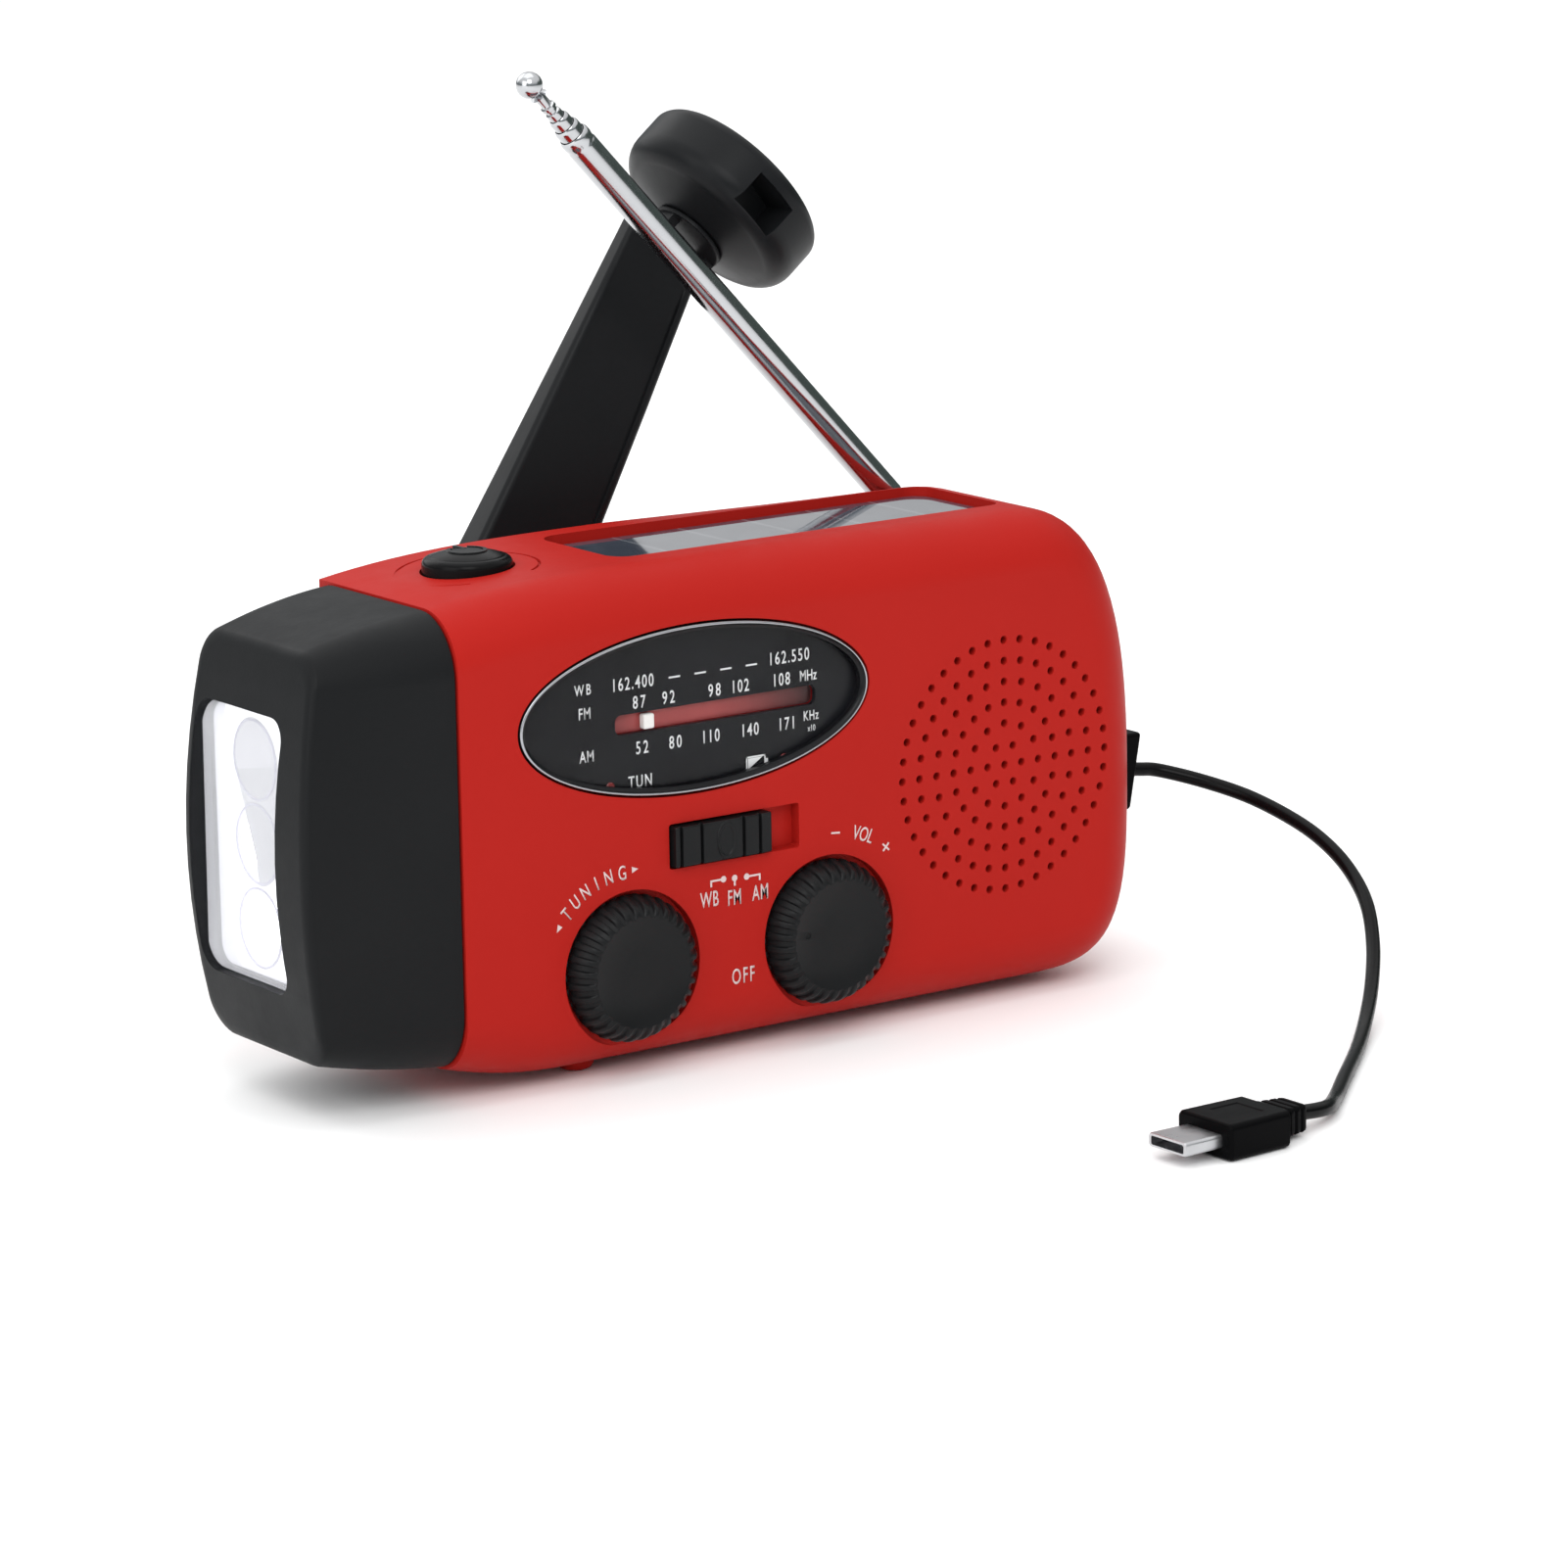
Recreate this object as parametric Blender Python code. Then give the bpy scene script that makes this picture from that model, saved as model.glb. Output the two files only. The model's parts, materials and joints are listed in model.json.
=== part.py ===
"""Hand-crank emergency radio with flashlight, solar panel, telescopic antenna and charging lead.

Design frame: millimetres, +X to the radio's right as seen from the front, +Y to the back,
+Z up. X = 0, Y = 0 is the middle of the casing and Z = 0 its underside. Every point is moved
by SHIFT at the end, which puts the origin under the middle of the whole object, on the
surface that it stands on.
"""
import math

import bmesh
import bpy
from mathutils import Matrix, Vector

MM = 0.001

# ---------------------------------------------------------------- driving dimensions (mm)
SHIFT = Vector((0.95, -12.48, 1.4))
FRONT, BACK = -17.9, 17.9          # casing depth
HALF_D = 17.9
CASE_X = 63.6                      # right end of the casing
TOP = 62.8                         # casing height
HEAD_X = -43.6                     # joint between flashlight head and casing
HEAD_END = -65.5
WALL = 2.2
FRONT_WALL = 3.3
SEAM_F, SEAM_R = 14.3, 14.6        # front housing ends, rear cover begins
LEDGE_Z = 52.0                     # top of rear cover, the ledge the antenna folds into
FRONT_A, FRONT_B = 7.5, 7.5        # edge rounding at the front: in the plane, in depth
BACK_A, BACK_B = 5.4, 8.7

SPK = (39.46, 30.66)
RING = 2.75                        # pitch of the grille's rings of holes
RING_COUNTS = (1, 6, 12, 20, 24, 32, 40)
HOLE_R = 0.5
HOLE_SIDES = 4

DIAL = (-8.7, 44.7)
DIAL_A, DIAL_B = 26.6, 10.9
SLOT = (-13.3, 6.6, 24.6, 30.4)
TUNE = (-19.1, 12.8)
VOL = (11.1, 12.8)
KNOB_R, KNOB_FACE_R, KNOB_FACE_Y = 9.6, 7.5, -20.5
BUTTON = (-29.65, 1.6)
SOLAR = (-13.5, 47.6, -7.8, 11.0)
PANEL_Z = 61.5                    # top face of the solar panel, just under the casing's top
FOOT_H, FOOT_R = 1.4, 2.4
FEET = ((-22.2, -8.8), (-22.2, 9.5), (36.0, -3.0), (36.0, 9.5))

HUB = Vector((-23.8, 0.0, 31.2))   # crank axis, along Y
ARM_TIP = Vector((23.15, 31.9, 94.24))   # fold hinge of the crank's knob
ARM_END = Vector((20.5, 31.9, 94.0))      # middle of the arm's outer end
ARM_W0, ARM_W1, ARM_T0, ARM_T1 = 19.5, 13.6, 6.6, 3.0
KNOB_TILT = math.radians(39.25)     # crank knob's axis above +X, at rest
ANT = Vector((51.55, 16.8, 55.4))   # antenna pivot, along Y
ANT_ANGLE = math.radians(46.7)     # above -X, at rest
ANT_LEN = 84.0
USB = (-4.1, 23.8)

M_GEAR, Z_BIG, Z_SMALL = 0.72, 30, 10
CENTRES = M_GEAR * (Z_BIG + Z_SMALL) / 2

for o in list(bpy.data.objects):
    bpy.data.objects.remove(o, do_unlink=True)


# ---------------------------------------------------------------- tools
def material(name, rgb, rough, metal=0.0, alpha=1.0):
    m = bpy.data.materials.new(name)
    m.use_nodes = True
    p = m.node_tree.nodes["Principled BSDF"]
    p.inputs["Base Color"].default_value = (*rgb, 1.0)
    p.inputs["Roughness"].default_value = rough
    p.inputs["Metallic"].default_value = metal
    p.inputs["Alpha"].default_value = alpha
    return m


RED = material("red_abs", (0.55, 0.03, 0.022), 0.45)
BLACK = material("black_abs", (0.02, 0.021, 0.022), 0.5)
RUBBER = material("black_rubber", (0.012, 0.012, 0.013), 0.7)
CHROME = material("chrome", (0.8, 0.8, 0.8), 0.12, 1.0)
STEEL = material("steel", (0.55, 0.55, 0.56), 0.3, 1.0)
BRASS = material("brass", (0.6, 0.45, 0.2), 0.35, 1.0)
CLEAR = material("clear_pc", (0.8, 0.85, 0.9), 0.05, 0.0, 0.3)
SILVER = material("silvered_abs", (0.75, 0.75, 0.76), 0.15, 1.0)
LED = material("led_resin", (0.95, 0.95, 1.0), 0.1)
PRINT = material("dial_black", (0.015, 0.015, 0.018), 0.3)
WHITE = material("white_abs", (0.85, 0.84, 0.82), 0.4)
SOLAR_M = material("solar_cell", (0.05, 0.07, 0.1), 0.1)
PCB = material("green_board", (0.03, 0.14, 0.06), 0.4)
GEAR_M = material("acetal", (0.78, 0.77, 0.72), 0.4)
COPPER = material("copper", (0.7, 0.3, 0.15), 0.3, 1.0)
FERRITE = material("ferrite", (0.05, 0.05, 0.055), 0.6)
PAPER = material("cone_paper", (0.05, 0.045, 0.04), 0.9)
CELL = material("cell_wrap", (0.05, 0.12, 0.35), 0.35)

OBJS = {}


def from_bm(name, bm, mat):
    bmesh.ops.recalc_face_normals(bm, faces=bm.faces[:])
    me = bpy.data.meshes.new(name)
    bm.to_mesh(me)
    bm.free()
    me.materials.append(mat)
    o = bpy.data.objects.new(name, me)
    bpy.context.scene.collection.objects.link(o)
    OBJS[name] = o
    return o


def loft(name, loops, mat, closed_ring=False):
    """Quads between loops of equal length, with a cap on each end, or a ring of loops."""
    bm = bmesh.new()
    rows = [[bm.verts.new(Vector(p) * MM) for p in loop] for loop in loops]
    n = len(rows[0])
    pairs = list(zip(rows, rows[1:])) + ([(rows[-1], rows[0])] if closed_ring else [])
    for a, b in pairs:
        for i in range(n):
            j = (i + 1) % n
            bm.faces.new((a[i], a[j], b[j], b[i]))
    if not closed_ring:
        bm.faces.new(rows[0][::-1])
        bm.faces.new(rows[-1])
    return from_bm(name, bm, mat)


def box(name, x0, x1, y0, y1, z0, z1, mat, bevel=0.0, seg=1):
    bm = bmesh.new()
    bmesh.ops.create_cube(bm, size=1.0)
    for v in bm.verts:
        v.co = Vector(((x0 + x1) / 2 + v.co.x * (x1 - x0),
                       (y0 + y1) / 2 + v.co.y * (y1 - y0),
                       (z0 + z1) / 2 + v.co.z * (z1 - z0))) * MM
    if bevel:
        bmesh.ops.bevel(bm, geom=bm.edges[:], offset=bevel * MM, segments=seg,
                        affect="EDGES", clamp_overlap=True)
    return from_bm(name, bm, mat)


def basis(axis):
    a = Vector(axis).normalized()
    u = Vector((0, 0, 1)) if abs(a.z) < 0.9 else Vector((1, 0, 0))
    u = (u - a * u.dot(a)).normalized()
    return a, u, a.cross(u)


def turned(name, profile, origin, axis, mat, seg=24, ring=False, frame=None, turn=0.0):
    """A turned piece. profile is (radius, height) pairs; ring=True closes it on itself."""
    a, u, w = frame or basis(axis)
    o = Vector(origin)
    loops = []
    for r, h in profile:
        loops.append([o + a * h + (u * math.cos(t) + w * math.sin(t)) * r
                      for t in (turn + 2 * math.pi * i / seg for i in range(seg))])
    return loft(name, loops, mat, closed_ring=ring)


def rod(name, p0, p1, r, mat, seg=16):
    p0, p1 = Vector(p0), Vector(p1)
    d = p1 - p0
    return turned(name, [(r, 0), (r, d.length)], p0, d, mat, seg)


def prism_y(name, pts, y0, y1, mat):
    return loft(name, [[(x, y0, z) for x, z in pts], [(x, y1, z) for x, z in pts]], mat)


def ellipse(c, a, b, n):
    return [(c[0] + a * math.cos(2 * math.pi * i / n), c[1] + b * math.sin(2 * math.pi * i / n))
            for i in range(n)]


def rounded(x0, x1, z0, z1, r, n=4):
    pts = []
    for cx, cz, a0 in ((x1 - r, z1 - r, 0), (x0 + r, z1 - r, 90), (x0 + r, z0 + r, 180), (x1 - r, z0 + r, 270)):
        for i in range(n + 1):
            t = math.radians(a0 + 90.0 * i / n)
            pts.append((cx + r * math.cos(t), cz + r * math.sin(t)))
    return pts


def boolean(target, tool, op="DIFFERENCE"):
    m = target.modifiers.new("bool", "BOOLEAN")
    m.object = tool
    m.operation = op
    m.solver = "EXACT"
    bpy.context.view_layer.update()
    dg = bpy.context.evaluated_depsgraph_get()
    me = bpy.data.meshes.new_from_object(target.evaluated_get(dg))
    target.modifiers.clear()
    target.data = me
    OBJS.pop(tool.name, None)
    bpy.data.objects.remove(tool, do_unlink=True)
    return target


# ---------------------------------------------------------------- casing form
def inset(d, a, b):
    """How far the outline is drawn in, at depth d behind the face, by the rounded edge."""
    if d >= b:
        return 0.0
    return a * (1 - math.sqrt(max(0.0, 1 - ((b - d) / b) ** 2)))


def outline(step=1.0):
    """The casing's outline in the XZ plane, from top left, clockwise as seen from the front."""
    pts = []
    for x in (HEAD_X, -38.0, -32.0, -24.0, -12.0, 2.0, 18.0, 32.0, 40.0):
        pts.append((x, TOP - 2.2 * (max(0.0, -x - 5.0) / 38.6) ** 3))
    n = max(4, int(12 * step))
    for i in range(n):
        t = math.pi / 2 * (1 - i / n)
        c, s = math.cos(t), math.sin(t)
        pts.append((44.2 + (CASE_X - 44.2) * c ** (2 / 2.66), 25.4 + (TOP - 25.4) * s ** (2 / 2.66)))
    n = max(4, int(9 * step))
    for i in range(n + 1):
        t = math.pi / 2 * i / n
        c, s = math.cos(t), math.sin(t)
        pts.append((46.9 + (CASE_X - 46.9) * max(c, 0.0) ** (2 / 3.24), 25.4 - 25.4 * s ** (2 / 3.24)))
    pts += [(20.0, 0.0), (0.0, 0.0), (-20.0, 0.0), (-26.5, 0.0)]
    for i in (1, 2, 3, 4):
        f = i / 4
        pts.append((-26.5 + (HEAD_X + 26.5) * f, 2.6 * f * f))
    return pts


def drawn_in(pts, d, left):
    """The outline moved inwards by d, with its straight left side at x = left."""
    out = []
    n = len(pts)
    for i, (x, z) in enumerate(pts):
        x0, z0 = pts[max(0, i - 1)]
        x1, z1 = pts[min(n - 1, i + 1)]
        tx, tz = x1 - x0, z1 - z0
        k = math.hypot(tx, tz)
        out.append([x + tz / k * d, z - tx / k * d])
    out[0][0] = out[-1][0] = left
    # clockwise travel has the inside on its right: (tz, -tx) points there
    return [tuple(p) for p in out]


def casing_loops(levels, extra, left, base):
    loops = []
    for y in levels:
        f, b = inset(y - FRONT, FRONT_A, FRONT_B), inset(BACK - y, BACK_A, BACK_B)
        near, far = drawn_in(base, extra + f, left), drawn_in(base, extra + max(f, b), left)
        loop = []
        for (x0, z0), (x1, z1) in zip(near, far):
            # the housing's top keeps its height up to the rear seam, more so towards the head
            w = min(1.0, max(0.0, x0 / 47.0)) if z0 > 50.0 and y < SEAM_F + 0.1 else 1.0
            loop.append((x0 + (x1 - x0) * w, y, z0 + (z1 - z0) * w))
        loops.append(loop)
    return loops


BASE = outline()
# front housing
levels = [FRONT + d for d in (0.0, 0.25, 0.8, 1.8, 3.4, 5.6, 7.6)] + [0.0, 9.1, 12.2, SEAM_F]
front = loft("front_cover", casing_loops(levels, 0.0, HEAD_X, BASE), RED)
cav = [FRONT + FRONT_WALL, FRONT + 4.6, FRONT + 7.0, 0.0, 12.2]
boolean(front, loft("c", casing_loops(cav, WALL, HEAD_X + WALL, BASE), RED))
mouth = [(x, min(z, LEDGE_Z - 2.4)) for x, z in drawn_in(BASE, WALL + 0.6, HEAD_X + WALL)]
keep = []
for p in mouth:
    if not keep or (abs(p[0] - keep[-1][0]) + abs(p[1] - keep[-1][1])) > 0.05:
        keep.append(p)
boolean(front, prism_y("c", keep, 11.9, 15.5, RED))
# bosses for the four cover screws, and the antenna's boss
BOSSES = ((-38.6, 6.6), (-38.6, 46.0), (56.6, 13.5), (56.4, 41.5))
for i, (bx, bz) in enumerate(BOSSES):
    dx = (3.6, 3.3) if bx < 0 else (3.3, 3.6)
    b = box("c", bx - dx[0], bx + dx[1], 6.0, SEAM_F, bz - 3.2, bz + 3.2, RED)
    boolean(front, b, "UNION")
boolean(front, box("c", 48.0, 54.6, 9.5, SEAM_F, 49.0, 57.2, RED), "UNION")
# feet
for fx, fy in FEET:
    boolean(front, turned("c", [(FOOT_R - 0.5, -FOOT_H), (FOOT_R, -FOOT_H + 0.5), (FOOT_R, 1.2)],
                          (fx, fy, 0), (0, 0, 1), RED, 16), "UNION")
for bx, bz in BOSSES:
    boolean(front, rod("c", (bx, 7.0, bz), (bx, 16.0, bz), 1.45, RED, 12))
boolean(front, rod("c", (ANT.x, 10.5, ANT.z), (ANT.x, 16.0, ANT.z), 1.5, RED, 12))
# openings
boolean(front, prism_y("c", ellipse(DIAL, DIAL_A, DIAL_B, 48), FRONT - 3, FRONT + 2.6, RED))
boolean(front, box("c", SLOT[0], SLOT[1], FRONT - 3, -16.2, SLOT[2], SLOT[3], RED))
boolean(front, box("c", -7.5, 1.2, -17.0, -14.0, 26.4, 28.6, RED))
for kx, kz in (TUNE, VOL):
    boolean(front, rod("c", (kx, FRONT - 3, kz), (kx, -16.4, kz), KNOB_R + 0.5, RED, 36))
    boolean(front, rod("c", (kx, -17.0, kz), (kx, -14.0, kz), 3.3, RED, 16))
boolean(front, rod("c", (BUTTON[0], BUTTON[1], 57.0), (BUTTON[0], BUTTON[1], 66.0), 6.0, RED, 28))
boolean(front, box("c", SOLAR[0] - 2.0, SOLAR[1] + 1.4, SOLAR[2] - 2.0, 12.2, 54.0, 59.9, RED))
sol = [(x, y) for x, y in rounded(SOLAR[0], SOLAR[1], SOLAR[2], SOLAR[3], 3.0, 3)]
boolean(front, loft("c", [[(x, y, 56.0) for x, y in sol], [(x, y, 66.0) for x, y in sol]], RED))
boolean(front, box("c", 57.0, 66.0, USB[0] - 3.6, USB[0] + 3.6, USB[1] - 5.6, USB[1] + 5.6, RED))
# grille
bm = bmesh.new()
for k, n in enumerate(RING_COUNTS):
    for i in range(n):
        t = 2 * math.pi * i / n
        cx, cz = SPK[0] + RING * k * math.cos(t), SPK[1] + RING * k * math.sin(t)
        ring = []
        for y in (FRONT - 1.0, FRONT + FRONT_WALL + 1.0):
            ring.append([bm.verts.new(Vector((cx + HOLE_R * math.cos(a), y, cz + HOLE_R * math.sin(a))) * MM)
                         for a in (2 * math.pi * j / HOLE_SIDES + t for j in range(HOLE_SIDES))])
        for j in range(HOLE_SIDES):
            m = (j + 1) % HOLE_SIDES
            bm.faces.new((ring[0][j], ring[0][m], ring[1][m], ring[1][j]))
        bm.faces.new(ring[0][::-1])
        bm.faces.new(ring[1])
boolean(front, from_bm("c", bm, RED))

# rear cover: the back of the casing below the ledge
flat = [(x, z) for x, z in BASE]
lv = [SEAM_R, 16.2, 17.2, 17.7, BACK]
rear = loft("rear_cover", casing_loops(lv, 0.0, HEAD_X, BASE), RED)
boolean(rear, box("c", -70, 80, 10, 25, LEDGE_Z, 80, RED))
inner = [(10.0 + (x - 10.0) * 0.85, min(29.0 + (z - 29.0) * 0.7, LEDGE_Z - 3.0)) for x, z in BASE]
keep = []
for p in inner:
    if not keep or (abs(p[0] - keep[-1][0]) + abs(p[1] - keep[-1][1])) > 0.05:
        keep.append(p)
boolean(rear, prism_y("c", keep, 13.0, 16.0, RED))
for bx, bz in BOSSES:
    boolean(rear, rod("c", (bx, 13.0, bz), (bx, 20.0, bz), 1.45, RED, 12))
    boolean(rear, rod("c", (bx, 16.3, bz), (bx, 20.0, bz), 2.7, RED, 16))
boolean(rear, rod("c", (HUB.x, 13.0, HUB.z), (HUB.x, 20.0, HUB.z), 5.3, RED, 24))
for i, (bx, bz) in enumerate(BOSSES):
    turned("cover_screw_%d" % (i + 1), [(1.15, 8.0), (1.15, 16.6), (2.3, 16.6), (2.3, 17.3), (1.9, 17.7)],
           (bx, 0, bz), (0, 1, 0), STEEL, 12)


# ---------------------------------------------------------------- flashlight head
def head_loop(s, d, n=5):
    """Section of the head at s from 0 (joint) to 1 (end face), drawn in by d: front chain upwards, back chain downwards."""
    e = s ** 1.25
    yf, yb = FRONT + 0.25 + 3.0 * e + d, BACK - 0.25 - 5.4 * e - d
    zt, zb = 60.4 - 3.0 * e - d, 2.9 + 3.2 * e + d
    az, ay = 8.0 - 4.1 * e, 7.4 - 3.4 * e
    x0 = HEAD_X - 0.3
    chain = []
    for i in range(n + 1):
        t = math.pi / 2 * (1 - i / n)
        chain.append((ay * (1 - math.cos(t)), zb + az * (1 - math.sin(t))))
    for f in (0.12, 0.3, 0.5, 0.7, 0.88):
        chain.append((0.0, zb + az + (zt - zb - 2 * az) * f))
    for i in range(n + 1):
        t = math.pi / 2 * i / n
        chain.append((ay * (1 - math.cos(t)), zt - az * (1 - math.sin(t))))
    pts = [(yf + q - 2.4 * e * max(0.0, 1.0 - ((z - 31.0) / 25.0) ** 2), z) for q, z in chain] + [(yb - q, z) for q, z in reversed(chain)]
    out = []
    for y, z in pts:
        depth = (x0 - HEAD_END) - 3.6 * ((z - 31.0) / 25.0) ** 2 * s
        out.append((x0 - depth * s, y, z))
    return out


def head_solid(name, sections, mat):
    """Loft of head sections whose ends are closed by strips from the front chain to the back one."""
    bm = bmesh.new()
    rows = [[bm.verts.new(Vector(p) * MM) for p in loop] for loop in sections]
    n = len(rows[0])
    for a, b in zip(rows, rows[1:]):
        for i in range(n):
            bm.faces.new((a[i], a[(i + 1) % n], b[(i + 1) % n], b[i]))
    for row in (rows[0], rows[-1]):
        for i in range(n // 2 - 1):
            bm.faces.new((row[i], row[i + 1], row[n - 2 - i], row[n - 1 - i]))
    return from_bm(name, bm, mat)


loops = [head_loop(s, 0.0) for s in (0.0, 0.25, 0.5, 0.75, 0.9)] + [head_loop(0.965, 0.25), head_loop(1.0, 1.3)]
head = head_solid("flashlight_head", loops, BLACK)
boolean(head, head_solid("c", [[(x + 2.0, y, z) for x, y, z in head_loop(0.0, 2.2)], head_loop(0.45, 2.2), head_loop(0.85, 2.4)], BLACK))
win = rounded(-10.0, 10.6, 14.7, 49.1, 3.0, 3)
boolean(head, loft("c", [[(-70.0, y, z) for y, z in win], [(-59.0, y, z) for y, z in win]], BLACK))
lens = rounded(-9.7, 10.3, 15.0, 48.8, 2.7, 3)
loft("torch_lens", [[(-63.6, y, z) for y, z in lens], [(-62.3, y, z) for y, z in lens]], CLEAR)
refl = loft("reflector", [[(-61.9, 0.3 + (y - 0.3) * 0.97, 31.9 + (z - 31.9) * 0.98) for y, z in lens],
                          [(-54.4, 0.3 + (y - 0.3) * 0.97, 31.9 + (z - 31.9) * 0.98) for y, z in lens]], SILVER)
LED_Z = (21.3, 31.9, 42.5)
for z in LED_Z:
    boolean(refl, turned("c", [(4.7, -62.9), (4.7, -61.4), (2.9, -56.0), (2.9, -53.4)], (0, 0, z), (1, 0, 0), SILVER, 20))
for i, z in enumerate(LED_Z):
    turned("led_%d" % (i + 1), [(0.9, -61.4), (1.9, -60.7), (2.45, -59.4), (2.45, -54.3), (2.5, -54.1), (2.5, -53.5)],
           (0, 0, z), (1, 0, 0), LED, 14)
box("led_board", -53.2, -51.6, -9.5, 9.5, 12.0, 50.0, PCB)

# ---------------------------------------------------------------- dial
ring = []
for a, b, y in ((26.3, 10.6, -16.7), (26.3, 10.6, -18.1), (25.9, 10.2, -18.4), (25.4, 9.7, -18.2), (25.4, 9.7, -16.7)):
    ring.append([(x, y, z) for x, z in ellipse(DIAL, a, b, 40)])
loft("dial_rim", ring, CHROME, closed_ring=True)
plate = prism_y("dial_plate", ellipse(DIAL, 26.2, 10.5, 40), -16.4, -15.6, PRINT)
BAR = (-20.0, 10.5, 42.4, 44.9)
boolean(plate, box("c", BAR[0], BAR[1], -17.5, -15.0, BAR[2], BAR[3], PRINT))
PTR_X = -15.1
box("tuning_pointer", PTR_X - 0.8, PTR_X + 0.8, -16.75, -15.55, BAR[2] + 0.3, BAR[3] - 0.3, WHITE)
loft("dial_window", [[(x, y, z) for x, z in ellipse(DIAL, a, b, 40)]
                     for a, b, y in ((25.1, 9.4, -17.1), (25.1, 9.4, -17.9), (24.4, 8.7, -18.2))], CLEAR)


# ---------------------------------------------------------------- knobs, slider, button
def control_knob(name, c):
    teeth = 28
    loops = []
    for y, ro, ri in ((-16.7, 9.6, 9.6), (-17.6, 9.6, 9.6), (-17.9, 8.9, 8.3), (-20.1, 8.3, 7.7), (KNOB_FACE_Y, 7.9, 7.5)):
        loop = []
        for i in range(teeth * 2):
            t = 2 * math.pi * i / (teeth * 2)
            r = ro if i % 2 == 0 else ri
            loop.append((c[0] + r * math.cos(t), y, c[1] + r * math.sin(t)))
        loops.append(loop)
    k = loft(name, loops, BLACK)
    return boolean(k, turned("c", [(3.0, -17.0), (3.0, -14.5)], (c[0], 0, c[1]), (0, 1, 0), BLACK, 16), "UNION")


control_knob("tuning_knob", TUNE)
control_knob("volume_knob", VOL)
box("tuning_capacitor", TUNE[0] - 8, TUNE[0] + 8, -14.2, -9.8, TUNE[1] - 8, TUNE[1] + 8, WHITE, 0.4)
rod("volume_pot", (VOL[0], -14.2, VOL[1]), (VOL[0], -9.8, VOL[1]), 8.0, STEEL, 20)

S0, S1 = -12.9, 1.7
slider_prof = []
xs = [S0, S0 + 2.1, S0 + 2.4, S0 + 2.7, S0 + 4.7, S0 + 5.0, S0 + 5.3, S1 - 5.3, S1 - 5.0, S1 - 4.7, S1 - 2.7, S1 - 2.4, S1 - 2.1, S1]
ys = [-18.9, -19.0, -18.5, -19.0, -19.0, -18.5, -19.0, -19.0, -18.5, -19.0, -19.0, -18.5, -19.0, -18.9]
prof = [(S0, -16.5)] + list(zip(xs, ys)) + [(S1, -16.5)]
slider = loft("band_slider", [[(x, y, 24.95) for x, y in prof], [(x, y, 30.05) for x, y in prof]], BLACK)
boolean(slider, box("c", -7.1, -4.1, -17.2, -14.5, 26.7, 28.3, BLACK), "UNION")
box("band_switch", -10.5, 4.5, -14.2, -9.8, 24.0, 31.0, STEEL)

BZ = 62.35
turned("light_button", [(7.2, -5.2), (7.2, -4.2), (5.72, -4.2), (5.72, 1.0), (5.6, 1.7), (4.2, 2.1), (2.0, 2.25)],
       (BUTTON[0], BUTTON[1], BZ), (0, 0, 1), BLACK, 28)
box("button_switch", BUTTON[0] - 3, BUTTON[0] + 3, BUTTON[1] - 3, BUTTON[1] + 3, 49.5, 54.6, FERRITE)

# ---------------------------------------------------------------- solar panel
panel = box("solar_panel", SOLAR[0] - 1.6, SOLAR[1] + 1.0, SOLAR[2] - 1.6, SOLAR[3], 57.6, 59.6, SOLAR_M)
face = rounded(SOLAR[0] + 0.3, SOLAR[1] - 0.3, SOLAR[2] + 0.3, SOLAR[3] - 0.3, 2.7, 3)
boolean(panel, loft("c", [[(x, y, 59.0) for x, y in face], [(x, y, PANEL_Z) for x, y in face]], SOLAR_M), "UNION")

# ---------------------------------------------------------------- antenna
AD = Vector((-math.cos(ANT_ANGLE), 0.0, math.sin(ANT_ANGLE)))
AF = (AD, Vector((0, 1, 0)), AD.cross(Vector((0, 1, 0))))
base = turned("antenna_hinge", [(2.4, 14.9), (2.9, 15.3), (2.9, 18.2), (2.4, 18.7)], (ANT.x, 0, ANT.z), (0, 1, 0), CHROME, 20)
boolean(base, turned("c", [(1.55, 1.0), (1.55, 8.6)], ANT, AD, CHROME, 12, frame=AF), "UNION")
boolean(base, turned("c", [(1.9, 1.5), (2.1, 4.4)], ANT, AD, CHROME, 12, frame=AF), "UNION")
boolean(base, rod("c", (ANT.x, 13.0, ANT.z), (ANT.x, 20.0, ANT.z), 1.45, CHROME, 16))
turned("antenna_screw", [(1.25, 11.0), (1.25, 18.9), (2.1, 18.9), (2.1, 19.4), (1.7, 19.7)], (ANT.x, 0, ANT.z), (0, 1, 0), STEEL, 16)
TUBES = ((2.1, 1.85, 4.7, 79.0), (1.75, 1.5, 9.0, 80.6), (1.4, 1.15, 10.0, 82.2))
for i, (ro, ri, t0, t1) in enumerate(TUBES):
    prof = [(ri, t0), (ro, t0), (ro, t1 - 0.5), (ro - 0.12, t1), (ri, t1)]
    turned("antenna_tube_%d" % (i + 1), prof, ANT, AD, CHROME, 12, ring=True, frame=AF)
turned("antenna_tip", [(1.05, 11.0), (1.05, 83.6), (0.75, 83.8), (0.75, 86.0), (1.2, 86.3), (1.7, 87.2), (1.75, 88.3), (1.35, 89.4), (0.5, 89.9)],
       ANT, AD, CHROME, 12, frame=AF)

# ---------------------------------------------------------------- crank
U = Vector((ARM_END.x - HUB.x, 0, ARM_END.z - HUB.z))
ARM_L = U.length
U.normalize()
W = Vector((-U.z, 0, U.x))
K = Vector((math.cos(KNOB_TILT), 0, math.sin(KNOB_TILT)))
H = Vector((K.z, 0, -K.x))                       # fold hinge, across the knob's axis


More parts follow.
